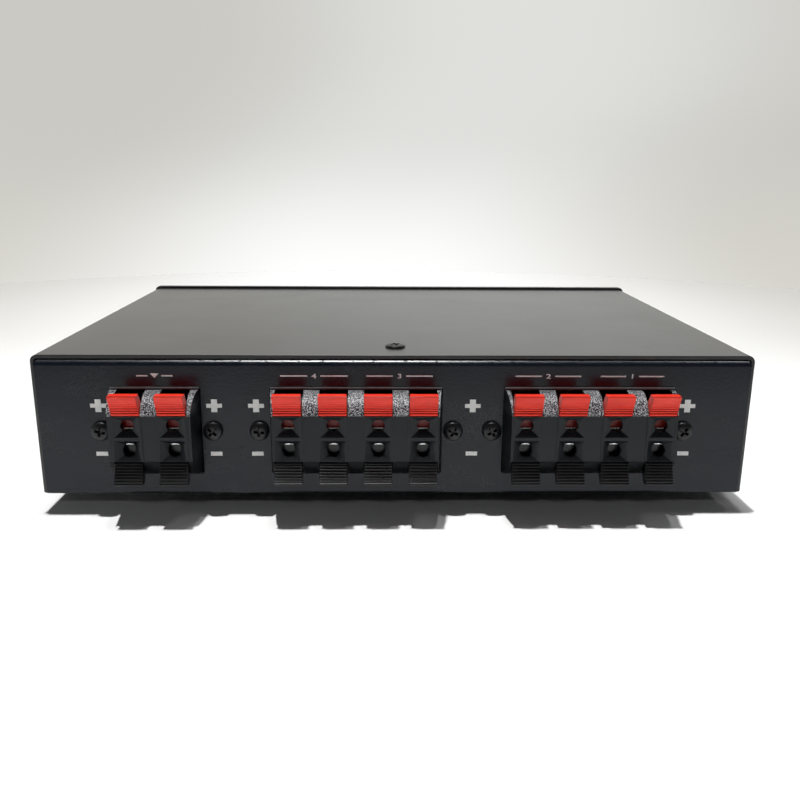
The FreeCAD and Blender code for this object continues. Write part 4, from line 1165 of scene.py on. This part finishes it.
def make_backdrop():
    """A pale sweep all round, brightest low in the middle."""
    cloth = Finish("backdrop_cloth")
    x, y, z = [axis * MM for axis in cloth.axes()]
    side = abs(x + 0.02 - 0.21 * z.rise(0.02, 0.28)).rise(0.05, 0.46)
    low = z.rise(0.17, -0.06)
    centre = cloth.mix(low, (0.740, 0.745, 0.720), (1.06, 1.06, 1.06))
    edge = cloth.mix(low, (0.595, 0.585, 0.550), (0.680, 0.665, 0.610))
    glow(cloth, cloth.mix(side, centre, edge))
    wall = stage_object("backdrop", sweep_shape(FLOOR_RADIUS, 0.0), cloth)
    wall.visible_shadow = False
    wall.visible_diffuse = False


def sweep_shape(start, rise):
    """A round wall that curves up out of the floor, from a radius and a height."""
    profile = [(start, rise)]
    profile += [(FLOOR_RADIUS - rise + COVE_RADIUS * math.sin(a), rise + COVE_RADIUS * (1 - math.cos(a)))
                for a in quarter_turn(12)]
    profile.append((FLOOR_RADIUS - rise + COVE_RADIUS, WALL_TOP))
    sweep = turned(profile, (0, 0, 0), "z", 96)
    caps = [face for face in sweep.faces if len(face.verts) > 4]
    bmesh.ops.delete(sweep, geom=caps, context="FACES_ONLY")
    return sweep


def make_flag():
    """A dark sheet before the panel, which only gloss sees: a painted reflection of a dark room for the
    panel to mirror.
    """
    dark_mirror = Finish("flag_dark_reflection")
    _, y, z = [axis * MM for axis in dark_mirror.axes()]
    # Painted reflection: near black up the sweep, dim grey where it lies low over the floor in front.
    wall = y.rise(0.15, -0.25) * z.rise(0.02, 0.20)
    skirt = y.rise(-0.20, -0.32) * z.rise(0.20, 0.02)
    tone = dark_mirror.mix(z.rise(0.01, 0.12), (0.34, 0.34, 0.36), (0.030, 0.030, 0.034))
    clear = dark_mirror.node("ShaderNodeBsdfTransparent")
    dark = dark_mirror.node("ShaderNodeEmission", None, {"Color": tone})
    dark_mirror.show(dark_mirror.node("ShaderNodeMixShader", None, {0: wall.higher(skirt), 1: clear, 2: dark}))
    flag = stage_object("flag", sweep_shape(FLAG_RADIUS, FLAG_RISE), dark_mirror)
    flag.visible_camera = False
    flag.visible_diffuse = False
    flag.visible_shadow = False


def stage_object(name, shape, finish):
    """A part of the studio, in metres."""
    for face in shape.faces:
        face.smooth = True
    item = as_object(name, shape)
    item.data.materials.append(finish.material)
    return item


def make_lamp(name, place, length, width, power, gloss=True, diffuse=True):
    """A rectangular lamp aimed at the object, its length along X; it may light gloss or colour only."""
    light = bpy.data.lights.new(name, "AREA")
    light.shape = "RECTANGLE"
    light.size, light.size_y = length, width
    light.energy = power
    lamp = bpy.data.objects.new(name, light)
    lamp.location = place
    lamp.rotation_mode = "QUATERNION"
    lamp.rotation_quaternion = (Vector(LAMP_TARGET) - Vector(place)).to_track_quat("-Z", "Y")
    lamp.visible_glossy = gloss
    lamp.visible_diffuse = diffuse
    bpy.context.scene.collection.objects.link(lamp)


def make_studio():
    """Floor, sweep, flag, lamps and a dim even sky."""
    make_floor()
    make_backdrop()
    make_flag()
    make_lamp("ceiling_lamp", (-0.107, -0.05, 2.00), 0.06, 0.05, 38.0, gloss=False)
    make_lamp("gloss_panel", (-0.107, -0.05, 2.00), 1.10, 0.50, 26.0, diffuse=False)
    make_lamp("second_lamp", (0.06, -0.02, 2.00), 0.06, 0.05, 5.0, gloss=False)
    make_lamp("back_lamp", (0.0, 1.00, 2.00), 0.30, 0.10, 9.0, gloss=False)
    make_lamp("left_lamp", (-1.40, -0.25, 0.20), 0.20, 0.20, 1.0)
    make_lamp("right_lamp", (0.95, -0.05, 1.90), 0.60, 0.30, 2.0)
    make_lamp("low_front_lamp", (-0.10, -1.30, 0.80), 0.30, 0.10, 1.3, gloss=False)
    world = bpy.data.worlds.new("sky")
    bpy.context.scene.world = world
    world.use_nodes = True
    sky = world.node_tree.nodes["Background"]
    sky.inputs["Color"].default_value = SKY_COLOUR
    sky.inputs["Strength"].default_value = SKY_STRENGTH


CAMERA_PLACE = (-0.0046553, -0.3341927, 0.1091842)
CAMERA_TURN = (74.7492, -0.3840, -1.2300)
CAMERA_LENS = 37.936
SENSOR = 36.0


def make_camera():
    """The camera, a little above the panel and just left of its middle."""
    data = bpy.data.cameras.new("camera")
    data.lens = CAMERA_LENS
    data.sensor_width = SENSOR
    data.clip_start = 0.01
    camera = bpy.data.objects.new("camera", data)
    camera.location = CAMERA_PLACE
    camera.rotation_euler = [math.radians(angle) for angle in CAMERA_TURN]
    bpy.context.scene.collection.objects.link(camera)
    bpy.context.scene.camera = camera
    bpy.context.scene.view_settings.view_transform = "Standard"


# ---- the whole

paint_nodes()
make_cover()
make_tray()
make_face_plate()
make_feet()
make_screws()
make_blocks()
make_levers()
make_buttons()
make_print()
make_studio()
make_camera()
